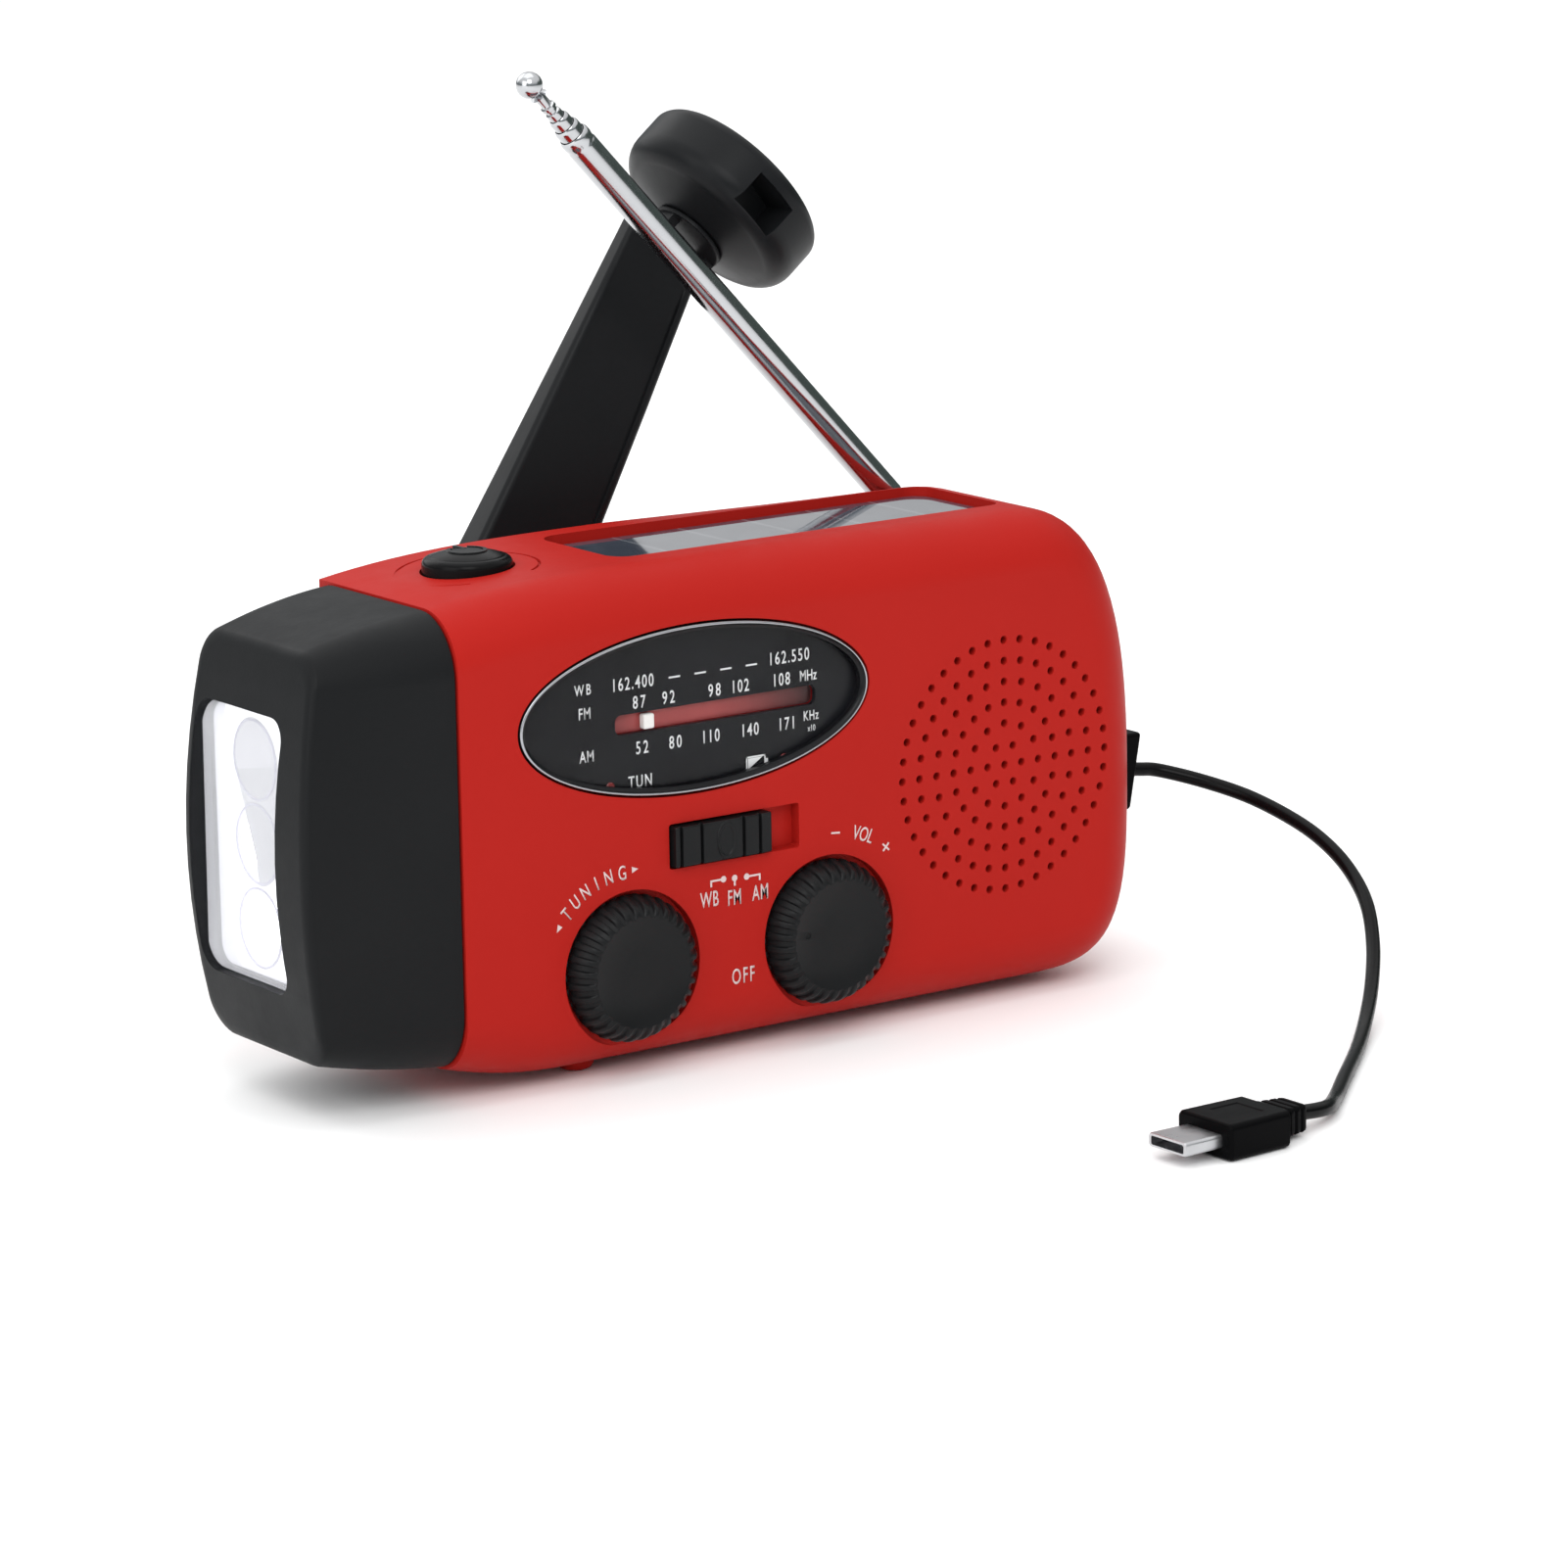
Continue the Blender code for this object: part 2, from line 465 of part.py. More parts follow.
def arm_section(s):
    """Section of the arm at s mm from the hub. It tapers and leans outwards, and its end is cut square to the knob's axis."""
    f = s / ARM_L
    wd = (ARM_W0 + (ARM_W1 - ARM_W0) * f) / 2
    th = (ARM_T0 + (ARM_T1 - ARM_T0) * f) / 2
    yc = 22.6 + (ARM_TIP.y - 22.6) * f
    g = max(0.0, (f - 0.75) / 0.25)
    side = (W * (1 - g) - H * g).normalized()
    wd = wd / side.dot(W)
    c = Vector((HUB.x, yc, HUB.z)) + U * s
    b = min(1.0, th * 0.5)
    pts = []
    for a, d in ((-1, -1), (1, -1), (1, 1), (-1, 1)):
        if a * d > 0:
            pts.append(c + side * a * wd + Vector((0, d * (th - b), 0)))
            pts.append(c + side * a * (wd - b) + Vector((0, d * th, 0)))
        else:
            pts.append(c + side * a * (wd - b) + Vector((0, d * th, 0)))
            pts.append(c + side * a * wd + Vector((0, d * (th - b), 0)))
    return pts


stations = [0.0, 18.0, 36.0, 54.0, ARM_L * 0.75, ARM_L * 0.87, ARM_L]
arm = loft("crank_arm", [arm_section(s) for s in stations], BLACK)
boolean(arm, turned("c", [(9.5, 19.3), (9.8, 19.6), (9.8, 25.6), (9.5, 25.9)], (HUB.x, 0, HUB.z), (0, 1, 0), BLACK, 36), "UNION")
# tongue that the fold hinge's pin crosses
tong = []
for i in range(9):
    t = -math.pi / 2 + math.pi * i / 8
    tong.append(ARM_TIP + K * 1.5 * math.cos(t) + Vector((0, 1, 0)) * 1.5 * math.sin(t))
tong += [ARM_TIP - K * 4.6 + Vector((0, 1.0, 0)), ARM_TIP - K * 4.6 + Vector((0, -1.5, 0))]
boolean(arm, loft("c", [[p - H * 3.1 for p in tong], [p + H * 3.1 for p in tong]], BLACK), "UNION")
boolean(arm, rod("c", ARM_TIP - H * 8, ARM_TIP + H * 8, 0.95, BLACK, 12))
boolean(arm, rod("c", (HUB.x, 10, HUB.z), (HUB.x, 24.1, HUB.z), 2.75, BLACK, 20))
turned("crank_shaft", [(2.2, -2.0), (2.2, 2.4), (3.0, 2.4), (3.0, 18.9), (2.45, 18.9), (2.45, 23.8)],
       (HUB.x, 0, HUB.z), (0, 1, 0), STEEL, 20)
turned("crank_bushing", [(3.1, 13.2), (6.6, 13.2), (6.6, 14.2), (5.0, 14.2), (5.0, 18.4), (3.1, 18.4)],
       (HUB.x, 0, HUB.z), (0, 1, 0), BRASS, 24, ring=True)
rod("fold_pin", ARM_TIP - H * 5.3, ARM_TIP + H * 5.3, 0.8, STEEL, 12)

KF = (K, Vector((0, -1, 0)), K.cross(Vector((0, -1, 0))))
yoke = turned("knob_yoke", [(5.4, 2.2), (5.4, 2.9), (3.0, 2.9), (3.0, 12.0)], ARM_TIP, K, BLACK, 24, frame=KF)
for sgn in (-1, 1):
    lug = []
    for i in range(9):
        t = math.pi / 2 + math.pi * i / 8
        lug.append(ARM_TIP + K * 1.9 * math.cos(t) + Vector((0, 1, 0)) * 1.9 * math.sin(t))
    lug += [ARM_TIP + K * 2.5 + Vector((0, -1.9, 0)), ARM_TIP + K * 2.5 + Vector((0, 1.9, 0))]
    boolean(yoke, loft("c", [[p + H * sgn * 3.4 for p in lug], [p + H * sgn * 4.9 for p in lug]], BLACK), "UNION")
boolean(yoke, rod("c", ARM_TIP - H * 9, ARM_TIP + H * 9, 0.95, BLACK, 12))

knob = turned("crank_knob", [(3.15, 3.1), (5.4, 3.1), (11.4, 5.0), (13.0, 6.3), (13.55, 8.0), (13.55, 12.2), (13.2, 13.1), (12.4, 13.6), (9.5, 14.5), (5.0, 15.3),
                             (0.9, 15.5), (0.9, 12.4), (3.15, 12.4)],
              ARM_TIP, K, BLACK, 32, ring=True, frame=KF)
# square socket in the knob's rim
cz = ARM_TIP + K * 8.6 - H * 1.75
soc = []
for y in (-14.0, -7.6):
    soc.append([cz + Vector((0, y, 0)) + K * a * 2.5 + H * b * 3.4 for a, b in ((-1, -1), (1, -1), (1, 1), (-1, 1))])
boolean(knob, loft("c", soc, BLACK))


# ---------------------------------------------------------------- dynamo gear train
def inv(x):
    return math.tan(x) - x


def gear_outline(cx, cz, z, phase, m=M_GEAR):
    """Involute teeth, 20 degrees, short addendum and a little backlash."""
    rp = m * z / 2
    rb = rp * math.cos(math.radians(20))
    rt, rf = rp + 0.58 * m, rp - 0.95 * m
    half = (math.pi / 2 - 0.16) / z
    pts = []
    lo = max(rb, rf)
    for i in range(z):
        c = phase + 2 * math.pi * i / z
        flank = []
        for r in (lo, (lo + rt) / 2, rt):
            al = math.acos(min(1.0, rb / r))
            flank.append((r, half + inv(math.radians(20)) - inv(al)))
        side = ([(rf, flank[0][1])] if lo > rf + 0.05 else []) + flank
        pts += [(cx + r * math.cos(c - a), cz + r * math.sin(c - a)) for r, a in side]
        pts += [(cx + r * math.cos(c + a), cz + r * math.sin(c + a)) for r, a in reversed(side)]
    return pts


TILT = math.radians(20)
IDL = (HUB.x + CENTRES * math.cos(TILT), HUB.z + CENTRES * math.sin(TILT))
ROT = (IDL[0] + CENTRES * math.cos(-TILT), IDL[1] + CENTRES * math.sin(-TILT))
g = prism_y("crank_gear", gear_outline(HUB.x, HUB.z, Z_BIG, TILT), 3.0, 6.0, GEAR_M)
boolean(g, rod("c", (HUB.x, 0, HUB.z), (HUB.x, 9, HUB.z), 3.3, GEAR_M, 20))
back = TILT + math.pi
g = prism_y("idler_gear", gear_outline(IDL[0], IDL[1], Z_SMALL, back + math.pi / Z_SMALL), 1.9, 6.3, GEAR_M)
boolean(g, prism_y("c", gear_outline(IDL[0], IDL[1], Z_BIG, -TILT), -1.0, 2.2, GEAR_M), "UNION")
boolean(g, rod("c", (IDL[0], -9, IDL[1]), (IDL[0], 9, IDL[1]), 1.15, GEAR_M, 14))
g = prism_y("dynamo_rotor", gear_outline(ROT[0], ROT[1], Z_SMALL, math.pi - TILT + math.pi / Z_SMALL), -2.6, 2.3, GEAR_M)
boolean(g, turned("c", [(7.0, -6.9), (7.0, -2.4)], (ROT[0], 0, ROT[1]), (0, 1, 0), GEAR_M, 24), "UNION")
boolean(g, rod("c", (ROT[0], -9, ROT[1]), (ROT[0], 9, ROT[1]), 1.15, GEAR_M, 14))
rod("idler_shaft", (IDL[0], -3.0, IDL[1]), (IDL[0], 7.0, IDL[1]), 1.0, STEEL, 12)
rod("rotor_shaft", (ROT[0], -7.6, ROT[1]), (ROT[0], 7.0, ROT[1]), 1.0, STEEL, 12)
turned("dynamo_stator", [(7.5, -7.2), (10.2, -7.2), (10.2, -3.0), (7.5, -3.0)], (ROT[0], 0, ROT[1]), (0, 1, 0), COPPER, 24, ring=True)
gp = box("gearbox_plate", -34.5, 13.5, 7.3, 8.8, 19.5, 45.5, STEEL)
boolean(gp, rod("c", (HUB.x, 5, HUB.z), (HUB.x, 11, HUB.z), 3.3, STEEL, 20))

# ---------------------------------------------------------------- speaker, electronics, battery
turned("speaker_frame", [(15.0, -14.3), (18.0, -14.3), (18.0, -13.3), (13.0, -7.6), (11.4, -7.6), (11.4, -8.6)], (SPK[0], 0, SPK[1]), (0, 1, 0), STEEL, 24, ring=True)
turned("speaker_cone", [(3.6, -9.6), (13.6, -13.9), (13.8, -13.4), (3.6, -9.1)], (SPK[0], 0, SPK[1]), (0, 1, 0), PAPER, 24, ring=True)
turned("speaker_magnet", [(10.5, -7.2), (10.5, -2.2)], (SPK[0], 0, SPK[1]), (0, 1, 0), FERRITE, 24)
box("circuit_board", -38.0, 18.0, -9.4, -8.0, 3.8, 56.0, PCB)
turned("battery", [(6.6, 0), (7.0, 0.4), (7.0, 43.6), (6.6, 44.0)], (-30.0, 3.5, 9.8), (1, 0, 0), CELL, 20)
rod("ferrite_rod", (-6.0, 4.0, 51.4), (42.0, 4.0, 51.4), 3.6, FERRITE, 16)
turned("antenna_coil", [(3.9, 0), (4.9, 0), (4.9, 12), (3.9, 12)], (8.0, 4.0, 51.4), (1, 0, 0), COPPER, 16, ring=True)

# ---------------------------------------------------------------- charging port and lead
sock = box("usb_socket", 52.5, 61.2, USB[0] - 3.1, USB[0] + 3.1, USB[1] - 5.1, USB[1] + 5.1, FERRITE)
boolean(sock, box("c", 54.5, 64.0, USB[0] - 2.0, USB[0] + 2.0, USB[1] - 4.0, USB[1] + 4.0, STEEL))
plug_bm = bmesh.new()
bmesh.ops.create_cube(plug_bm, size=1.0)
for v in plug_bm.verts:
    low = v.co.z < 0
    x = 64.0 if v.co.x < 0 else (68.6 if low else 70.5)
    v.co = Vector((x, USB[0] + (3.6 if v.co.y > 0 else -3.6), USB[1] + (-5.2 if low else 5.2))) * MM
bmesh.ops.bevel(plug_bm, geom=plug_bm.edges[:], offset=0.6 * MM, segments=2, affect="EDGES", clamp_overlap=True)
plug = from_bm("usb_plug", plug_bm, RUBBER)
boolean(plug, box("c", 55.5, 64.8, USB[0] - 1.6, USB[0] + 1.6, USB[1] - 3.6, USB[1] + 3.6, STEEL), "UNION")
CORD_R = 0.95
FLOOR = -FOOT_H
ROUTE = [(69.75, -4.1, 23.3), (72.7, -4.3, 23.0), (75.71, -5.0, 22.51), (80.15, -9.6, 21.05), (83.48, -15.5, 19.31), (84.98, -23.5, 17.01),
         (84.94, -30.0, 14.71), (83.98, -35.5, 12.14), (81.63, -41.0, 9.43), (77.83, -46.5, 5.96), (72.4, -52.5, 2.79), (65.97, -58.8, 0.61),
         (58.33, -66.04, -0.4), (48.05, -75.45, -0.4), (41.0, -81.9, -0.38), (35.8, -86.2, 0.3), (30.11, -87.66, 0.95)]


def smooth(points, per=5):
    """Catmull-Rom curve through the points."""
    p = [Vector(q) for q in points]
    p = [p[0] * 2 - p[1]] + p + [p[-1] * 2 - p[-2]]
    out = []
    for i in range(1, len(p) - 2):
        a, b, c, d = p[i - 1], p[i], p[i + 1], p[i + 2]
        for j in range(per):
            t = j / per
            out.append(0.5 * ((2 * b) + (c - a) * t + (2 * a - 5 * b + 4 * c - d) * t * t + (3 * b - a - 3 * c + d) * t ** 3))
    out.append(p[-2])
    return out


cu = bpy.data.curves.new("usb_cable", "CURVE")
cu.dimensions = "3D"
cu.bevel_depth = CORD_R * MM
cu.bevel_resolution = 2
cu.use_fill_caps = True
path = smooth(ROUTE, 3)
sp = cu.splines.new("POLY")
sp.points.add(len(path) - 1)
for i, q in enumerate(path):
    sp.points[i].co = (*(q * MM), 1.0)
cu.materials.append(RUBBER)
cable = bpy.data.objects.new("usb_cable", cu)
bpy.context.scene.collection.objects.link(cable)
OBJS["usb_cable"] = cable
E = Vector(ROUTE[-1])
CD = Vector((-0.998, -0.04, 0.0)).normalized()
CN = Vector((-CD.y, CD.x, 0))


def conn(t, wd, ht):
    c = Vector((E.x, E.y, 0.95)) + CD * t
    r = min(wd, ht) * 0.35
    return [c + CN * a + Vector((0, 0, b)) for a, b in rounded(-wd, wd, -ht, ht, r, 2)]


loops = [conn(0.5, 2.3, 1.7), conn(4.7, 3.1, 1.9), conn(4.9, 4.1, 2.0), conn(5.4, 4.7, 2.3), conn(14.6, 4.9, 2.3), conn(15.0, 4.5, 2.0),
         conn(15.1, 3.4, 0.9), conn(20.8, 3.4, 0.9)]
loft("phone_connector", loops, RUBBER)


# ---------------------------------------------------------------- origins on the joint axes, shading, final place
def pivot(name, at, parent=None):
    o = OBJS[name]
    p = Vector(at) * MM
    if o.type == "MESH":
        o.data.transform(Matrix.Translation(-p))
    o.location = p
    return o


def holder(name, at):
    e = bpy.data.objects.new(name, None)
    e.empty_display_size = 0.01
    e.location = Vector(at) * MM
    bpy.context.scene.collection.objects.link(e)
    return e


def group(name, at, members, parent=None):
    e = holder(name, at)
    for n in members:
        o = pivot(n, at)
        o.parent = e
        o.location = (0, 0, 0)
    if parent is not None:
        e.location = e.location - parent.matrix_local.translation
        e.parent = parent
    return e


root = holder("radio_frame", (0, 0, 0))
ax_crank = holder("crank_axis", (HUB.x, 0, HUB.z))
for n in ("crank_arm", "crank_shaft", "crank_gear", "fold_pin"):
    pivot(n, (HUB.x, 0, HUB.z)).parent = ax_crank
    OBJS[n].location = (0, 0, 0)
ax_fold = holder("fold_axis", ARM_TIP - Vector((HUB.x, 0, HUB.z)))
ax_fold.parent = ax_crank
for n in ("knob_yoke", "crank_knob"):
    pivot(n, ARM_TIP).parent = ax_fold
    OBJS[n].location = (0, 0, 0)
ax_ant = holder("antenna_axis", ANT)
for n in ("antenna_hinge", "antenna_tube_1", "antenna_tube_2", "antenna_tube_3", "antenna_tip"):
    pivot(n, ANT).parent = ax_ant
    OBJS[n].location = (0, 0, 0)
pivot("idler_gear", (IDL[0], 0, IDL[1]))
pivot("dynamo_rotor", (ROT[0], 0, ROT[1]))
pivot("tuning_knob", (TUNE[0], -18, TUNE[1]))
pivot("volume_knob", (VOL[0], -18, VOL[1]))
pivot("tuning_pointer", (PTR_X, -16, 44))
pivot("band_slider", (S0, -17, 27.5))
pivot("light_button", (BUTTON[0], BUTTON[1], BZ))

for o in list(OBJS.values()):
    if o.type == "MESH":
        o.data.shade_smooth()
        o.data.set_sharp_from_angle(angle=math.radians(32))
    if o.parent is None:
        o.parent = root
for e in (ax_crank, ax_ant):
    e.parent = root
root.location = SHIFT * MM
bpy.context.view_layer.update()
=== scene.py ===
"""Looks of the hand-crank emergency radio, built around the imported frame."""
import json
import math
import bpy
import bmesh
from mathutils import Matrix, Vector, Quaternion


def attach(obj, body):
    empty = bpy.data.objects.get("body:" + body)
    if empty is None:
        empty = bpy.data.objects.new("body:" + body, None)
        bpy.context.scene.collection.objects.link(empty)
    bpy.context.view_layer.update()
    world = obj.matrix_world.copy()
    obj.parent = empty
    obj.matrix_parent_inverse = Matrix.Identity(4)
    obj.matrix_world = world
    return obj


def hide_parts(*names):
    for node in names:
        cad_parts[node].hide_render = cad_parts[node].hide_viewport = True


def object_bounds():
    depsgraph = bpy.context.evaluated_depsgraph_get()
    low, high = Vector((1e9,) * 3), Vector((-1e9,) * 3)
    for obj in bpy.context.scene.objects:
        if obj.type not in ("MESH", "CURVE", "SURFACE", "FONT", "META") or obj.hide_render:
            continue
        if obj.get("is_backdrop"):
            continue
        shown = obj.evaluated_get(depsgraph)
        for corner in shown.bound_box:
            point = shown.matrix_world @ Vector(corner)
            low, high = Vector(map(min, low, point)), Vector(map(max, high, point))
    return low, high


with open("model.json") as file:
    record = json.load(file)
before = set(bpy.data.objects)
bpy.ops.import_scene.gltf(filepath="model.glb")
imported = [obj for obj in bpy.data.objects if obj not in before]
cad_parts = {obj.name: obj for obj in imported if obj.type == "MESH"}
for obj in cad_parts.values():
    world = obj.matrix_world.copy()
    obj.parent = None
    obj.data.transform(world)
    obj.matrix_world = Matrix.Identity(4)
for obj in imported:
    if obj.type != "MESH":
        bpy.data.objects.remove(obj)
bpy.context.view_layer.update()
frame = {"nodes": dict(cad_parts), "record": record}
MM = 0.001

# the design frame of the CAD, in millimetres, and where its origin lies in the row frame
SHIFT = Vector((0.95, -12.48, 1.4))
FRONT, BACK = -17.9, 17.9
CASE_X, TOP = 63.6, 62.8
HEAD_X, HEAD_END = -43.6, -65.5
WALL, FRONT_WALL = 2.2, 3.3
SEAM_F, SEAM_R, LEDGE_Z = 14.3, 14.6, 52.0
FRONT_A, FRONT_B, BACK_A, BACK_B = 7.5, 7.5, 5.4, 8.7
SPK, RING = (39.46, 30.66), 2.75
RING_COUNTS = (1, 6, 12, 20, 24, 32, 40)
HOLE_R = 0.5
DIAL, DIAL_A, DIAL_B = (-8.7, 44.7), 26.6, 10.9
SLOT = (-13.3, 6.6, 24.6, 30.4)
TUNE, VOL = (-19.1, 12.8), (11.1, 12.8)
KNOB_R = 9.6
BUTTON, BZ = (-29.65, 1.6), 62.35
SOLAR, PANEL_Z = (-13.5, 47.6, -7.8, 11.0), 61.5
FOOT_H, FOOT_R = 1.4, 2.4
FEET = ((-22.2, -8.8), (-22.2, 9.5), (36.0, -3.0), (36.0, 9.5))
BOSSES = ((-38.6, 6.6), (-38.6, 46.0), (56.6, 13.5), (56.4, 41.5))
HUB = Vector((-23.8, 0.0, 31.2))
ARM_TIP = Vector((23.15, 31.9, 94.24))
ARM_END = Vector((20.5, 31.9, 94.0))
ARM_W0, ARM_W1, ARM_T0, ARM_T1 = 19.5, 13.6, 6.6, 3.0
KNOB_TILT = math.radians(39.25)
ANT = Vector((51.55, 16.8, 55.4))
ANT_ANGLE = math.radians(46.7)
USB = (-4.1, 23.8)


# ------------------------------------------------------------------ node-based materials
def _nodes(name):
    m = bpy.data.materials.new(name)
    m.use_nodes = True
    nt = m.node_tree
    return m, nt, nt.nodes["Principled BSDF"]


def _coords(nt):
    return nt.nodes.new("ShaderNodeTexCoord").outputs["Object"]


def _noise(nt, co, scale, detail=4.0, rough=0.55):
    n = nt.nodes.new("ShaderNodeTexNoise")
    n.inputs["Scale"].default_value = scale
    n.inputs["Detail"].default_value = detail
    n.inputs["Roughness"].default_value = rough
    nt.links.new(co, n.inputs["Vector"])
    return n.outputs["Fac"]


def _ramp(nt, fac, stops):
    r = nt.nodes.new("ShaderNodeValToRGB")
    els = r.color_ramp.elements
    while len(els) < len(stops):
        els.new(0.5)
    for e, (pos, col) in zip(els, stops):
        e.position = pos
        e.color = col if len(col) == 4 else (*col, 1.0)
    nt.links.new(fac, r.inputs["Fac"])
    return r.outputs["Color"]


def _range(nt, fac, a, b, lo=0.35, hi=0.65):
    r = nt.nodes.new("ShaderNodeMapRange")
    r.inputs["From Min"].default_value = lo
    r.inputs["From Max"].default_value = hi
    r.inputs["To Min"].default_value = a
    r.inputs["To Max"].default_value = b
    nt.links.new(fac, r.inputs["Value"])
    return r.outputs["Result"]


def _mix(nt, a, b, fac):
    m = nt.nodes.new("ShaderNodeMix")
    m.data_type = "RGBA"
    for sock, val in ((m.inputs[6], a), (m.inputs[7], b), (m.inputs[0], fac)):
        if hasattr(val, "is_output"):
            nt.links.new(val, sock)
        elif isinstance(val, (int, float)):
            sock.default_value = val
        else:
            sock.default_value = (*val, 1.0) if len(val) == 3 else val
    return m.outputs[2]


def _math(nt, op, a, b=0.0):
    m = nt.nodes.new("ShaderNodeMath")
    m.operation = op
    for i, v in enumerate((a, b)):
        if hasattr(v, "is_output"):
            nt.links.new(v, m.inputs[i])
        else:
            m.inputs[i].default_value = v
    return m.outputs[0]


def _bump(nt, height, p, strength=0.3, distance=0.0001, normal=None):
    b = nt.nodes.new("ShaderNodeBump")
    b.inputs["Strength"].default_value = strength
    b.inputs["Distance"].default_value = distance
    nt.links.new(height, b.inputs["Height"])
    if normal is not None:
        nt.links.new(normal, b.inputs["Normal"])
    nt.links.new(b.outputs["Normal"], p.inputs["Normal"])
    return b.outputs["Normal"]


def moulded(name, col, rough=0.42, grain=0.25, grain_mm=0.35, vary=0.10, coat=0.0, spec=0.5, wear=None):
    """Moulded plastic: fine spark-eroded grain, slow colour drift, handled smudges in the gloss and paler worn edges."""
    m, nt, p = _nodes(name)
    co = _coords(nt)
    slow = _noise(nt, co, 22.0, 3.0)
    base = _mix(nt, tuple(c * (1 - vary) for c in col), tuple(min(1.0, c * (1 + vary)) for c in col), _range(nt, slow, 0.0, 1.0))
    if wear is not None:
        geo = nt.nodes.new("ShaderNodeNewGeometry")
        edge = _range(nt, geo.outputs["Pointiness"], 0.0, 0.5, 0.54, 0.66)
        patch = _range(nt, _noise(nt, co, 260.0, 5.0), 0.0, 1.0, 0.42, 0.62)
        base = _mix(nt, base, wear, _math(nt, "MULTIPLY", edge, patch))
    nt.links.new(base, p.inputs["Base Color"])
    smudge = _noise(nt, co, 70.0, 5.0, 0.65)
    nt.links.new(_range(nt, smudge, rough - 0.05, rough + 0.07), p.inputs["Roughness"])
    p.inputs["Specular IOR Level"].default_value = spec
    p.inputs["Coat Weight"].default_value = coat
    p.inputs["Coat Roughness"].default_value = 0.25
    g1 = _noise(nt, co, 1.0 / (grain_mm * MM), 2.0, 0.5)
    g2 = _noise(nt, co, 1.0 / (grain_mm * 5.0 * MM), 2.0, 0.5)
    _bump(nt, _math(nt, "ADD", g1, _math(nt, "MULTIPLY", g2, 0.6)), p, grain, 0.00006)
    return m


def metal(name, col, rough=0.15, brushed=0.0, vary=0.05, spots=0.0):
    m, nt, p = _nodes(name)
    co = _coords(nt)
    slow = _noise(nt, co, 60.0, 4.0)
    base = _mix(nt, tuple(c * (1 - vary) for c in col), col, _range(nt, slow, 0.0, 1.0))
    nt.links.new(base, p.inputs["Base Color"])
    p.inputs["Metallic"].default_value = 1.0
    sm = _noise(nt, co, 180.0, 5.0, 0.7)
    nt.links.new(_range(nt, sm, max(0.02, rough - 0.03), rough + 0.05 + spots), p.inputs["Roughness"])
    if brushed:
        _bump(nt, _noise(nt, co, 2500.0, 2.0), p, brushed, 0.00002)
    return m


RED = moulded("red_shell_plastic", (0.405, 0.0140, 0.0100), 0.45, 0.10, 0.30, 0.02, spec=0.065)
BLACK = moulded("black_head_plastic", (0.0088, 0.0094, 0.0102), 0.44, 0.15, 0.30, 0.05, spec=0.10)
KNOBM = moulded("black_knob_plastic", (0.0075, 0.0080, 0.0086), 0.36, 0.12, 0.25, 0.05, spec=0.15)
CRANKM = moulded("black_crank_plastic", (0.0085, 0.0092, 0.0102), 0.36, 0.10, 0.40, 0.05, spec=0.12)
PVC = moulded("black_pvc", (0.0024, 0.0024, 0.0027), 0.25, 0.05, 0.6, 0.06, spec=0.10)
MOULD = moulded("black_plug_pvc", (0.0022, 0.0022, 0.0025), 0.36, 0.08, 0.25, 0.06, spec=0.03)
CHROME = metal("chrome_plate", (0.50, 0.51, 0.525), 0.12)
RIMM = metal("rim_plate", (0.40, 0.41, 0.43), 0.22)
STEEL = metal("zinc_steel", (0.56, 0.565, 0.58), 0.28, 0.2, 0.12, 0.08)
BRASS = metal("turned_brass", (0.62, 0.46, 0.22), 0.28, 0.2, 0.1)
COPPER = metal("copper_wire", (0.72, 0.32, 0.16), 0.25, 0.5, 0.15)
SILVER = metal("vacuum_silver_painted_glow", (0.93, 0.93, 0.95), 0.10)
for _n in SILVER.node_tree.nodes:
    if _n.type == "BSDF_PRINCIPLED":  # painted glow: the emission stands in for the light the lamps in front of it throw on the reflector
        _n.inputs["Emission Color"].default_value = (0.92, 0.92, 1.0, 1.0)
        _n.inputs["Emission Strength"].default_value = 0.24
WHITEINK = moulded("white_print", (0.66, 0.52, 0.51), 0.5, 0.05, 0.3, 0.03)
BUTM = moulded("black_button_plastic", (0.0055, 0.0058, 0.0062), 0.26, 0.06, 0.40, 0.05, spec=0.07)
DIALINK = moulded("dial_print", (0.80, 0.81, 0.82), 0.45, 0.05, 0.3, 0.03)
GREYINK = moulded("grey_print", (0.42, 0.42, 0.43), 0.45, 0.05, 0.3, 0.03)
WHITEP = moulded("white_pointer", (0.85, 0.83, 0.80), 0.4, 0.05, 0.3, 0.03)
ACETAL = moulded("acetal_gear", (0.72, 0.70, 0.63), 0.42, 0.10, 0.3, 0.05)
FERR = moulded("ferrite_black", (0.045, 0.044, 0.046), 0.65, 0.5, 0.2, 0.2)
PAPERM = moulded("cone_fibre", (0.05, 0.045, 0.04), 0.9, 0.8, 0.15, 0.3)
CELLM = moulded("cell_sleeve", (0.04, 0.11, 0.34), 0.3, 0.05, 0.5, 0.05)
WHITEC = moulded("component_plastic", (0.7, 0.69, 0.66), 0.45, 0.1, 0.3, 0.06)
# near-black plastic for the button switch; on the USB socket it is painted shade, standing for the dark inside of the
# port
DARK_PLASTIC_AND_SHADE = moulded("port_plastic_and_painted_shade", (0.012, 0.012, 0.013), 0.55, 0.2, 0.3, 0.1)


def board_material():
    m, nt, p = _nodes("board_mask")
    co = _coords(nt)
    br = nt.nodes.new("ShaderNodeTexBrick")
    br.inputs["Scale"].default_value = 260.0
    br.inputs["Color1"].default_value = (0.02, 0.11, 0.045, 1)
    br.inputs["Color2"].default_value = (0.025, 0.13, 0.055, 1)
    br.inputs["Mortar"].default_value = (0.06, 0.24, 0.10, 1)
    br.inputs["Mortar Size"].default_value = 0.06
    nt.links.new(co, br.inputs["Vector"])
    nt.links.new(br.outputs["Color"], p.inputs["Base Color"])
    p.inputs["Roughness"].default_value = 0.35
    return m


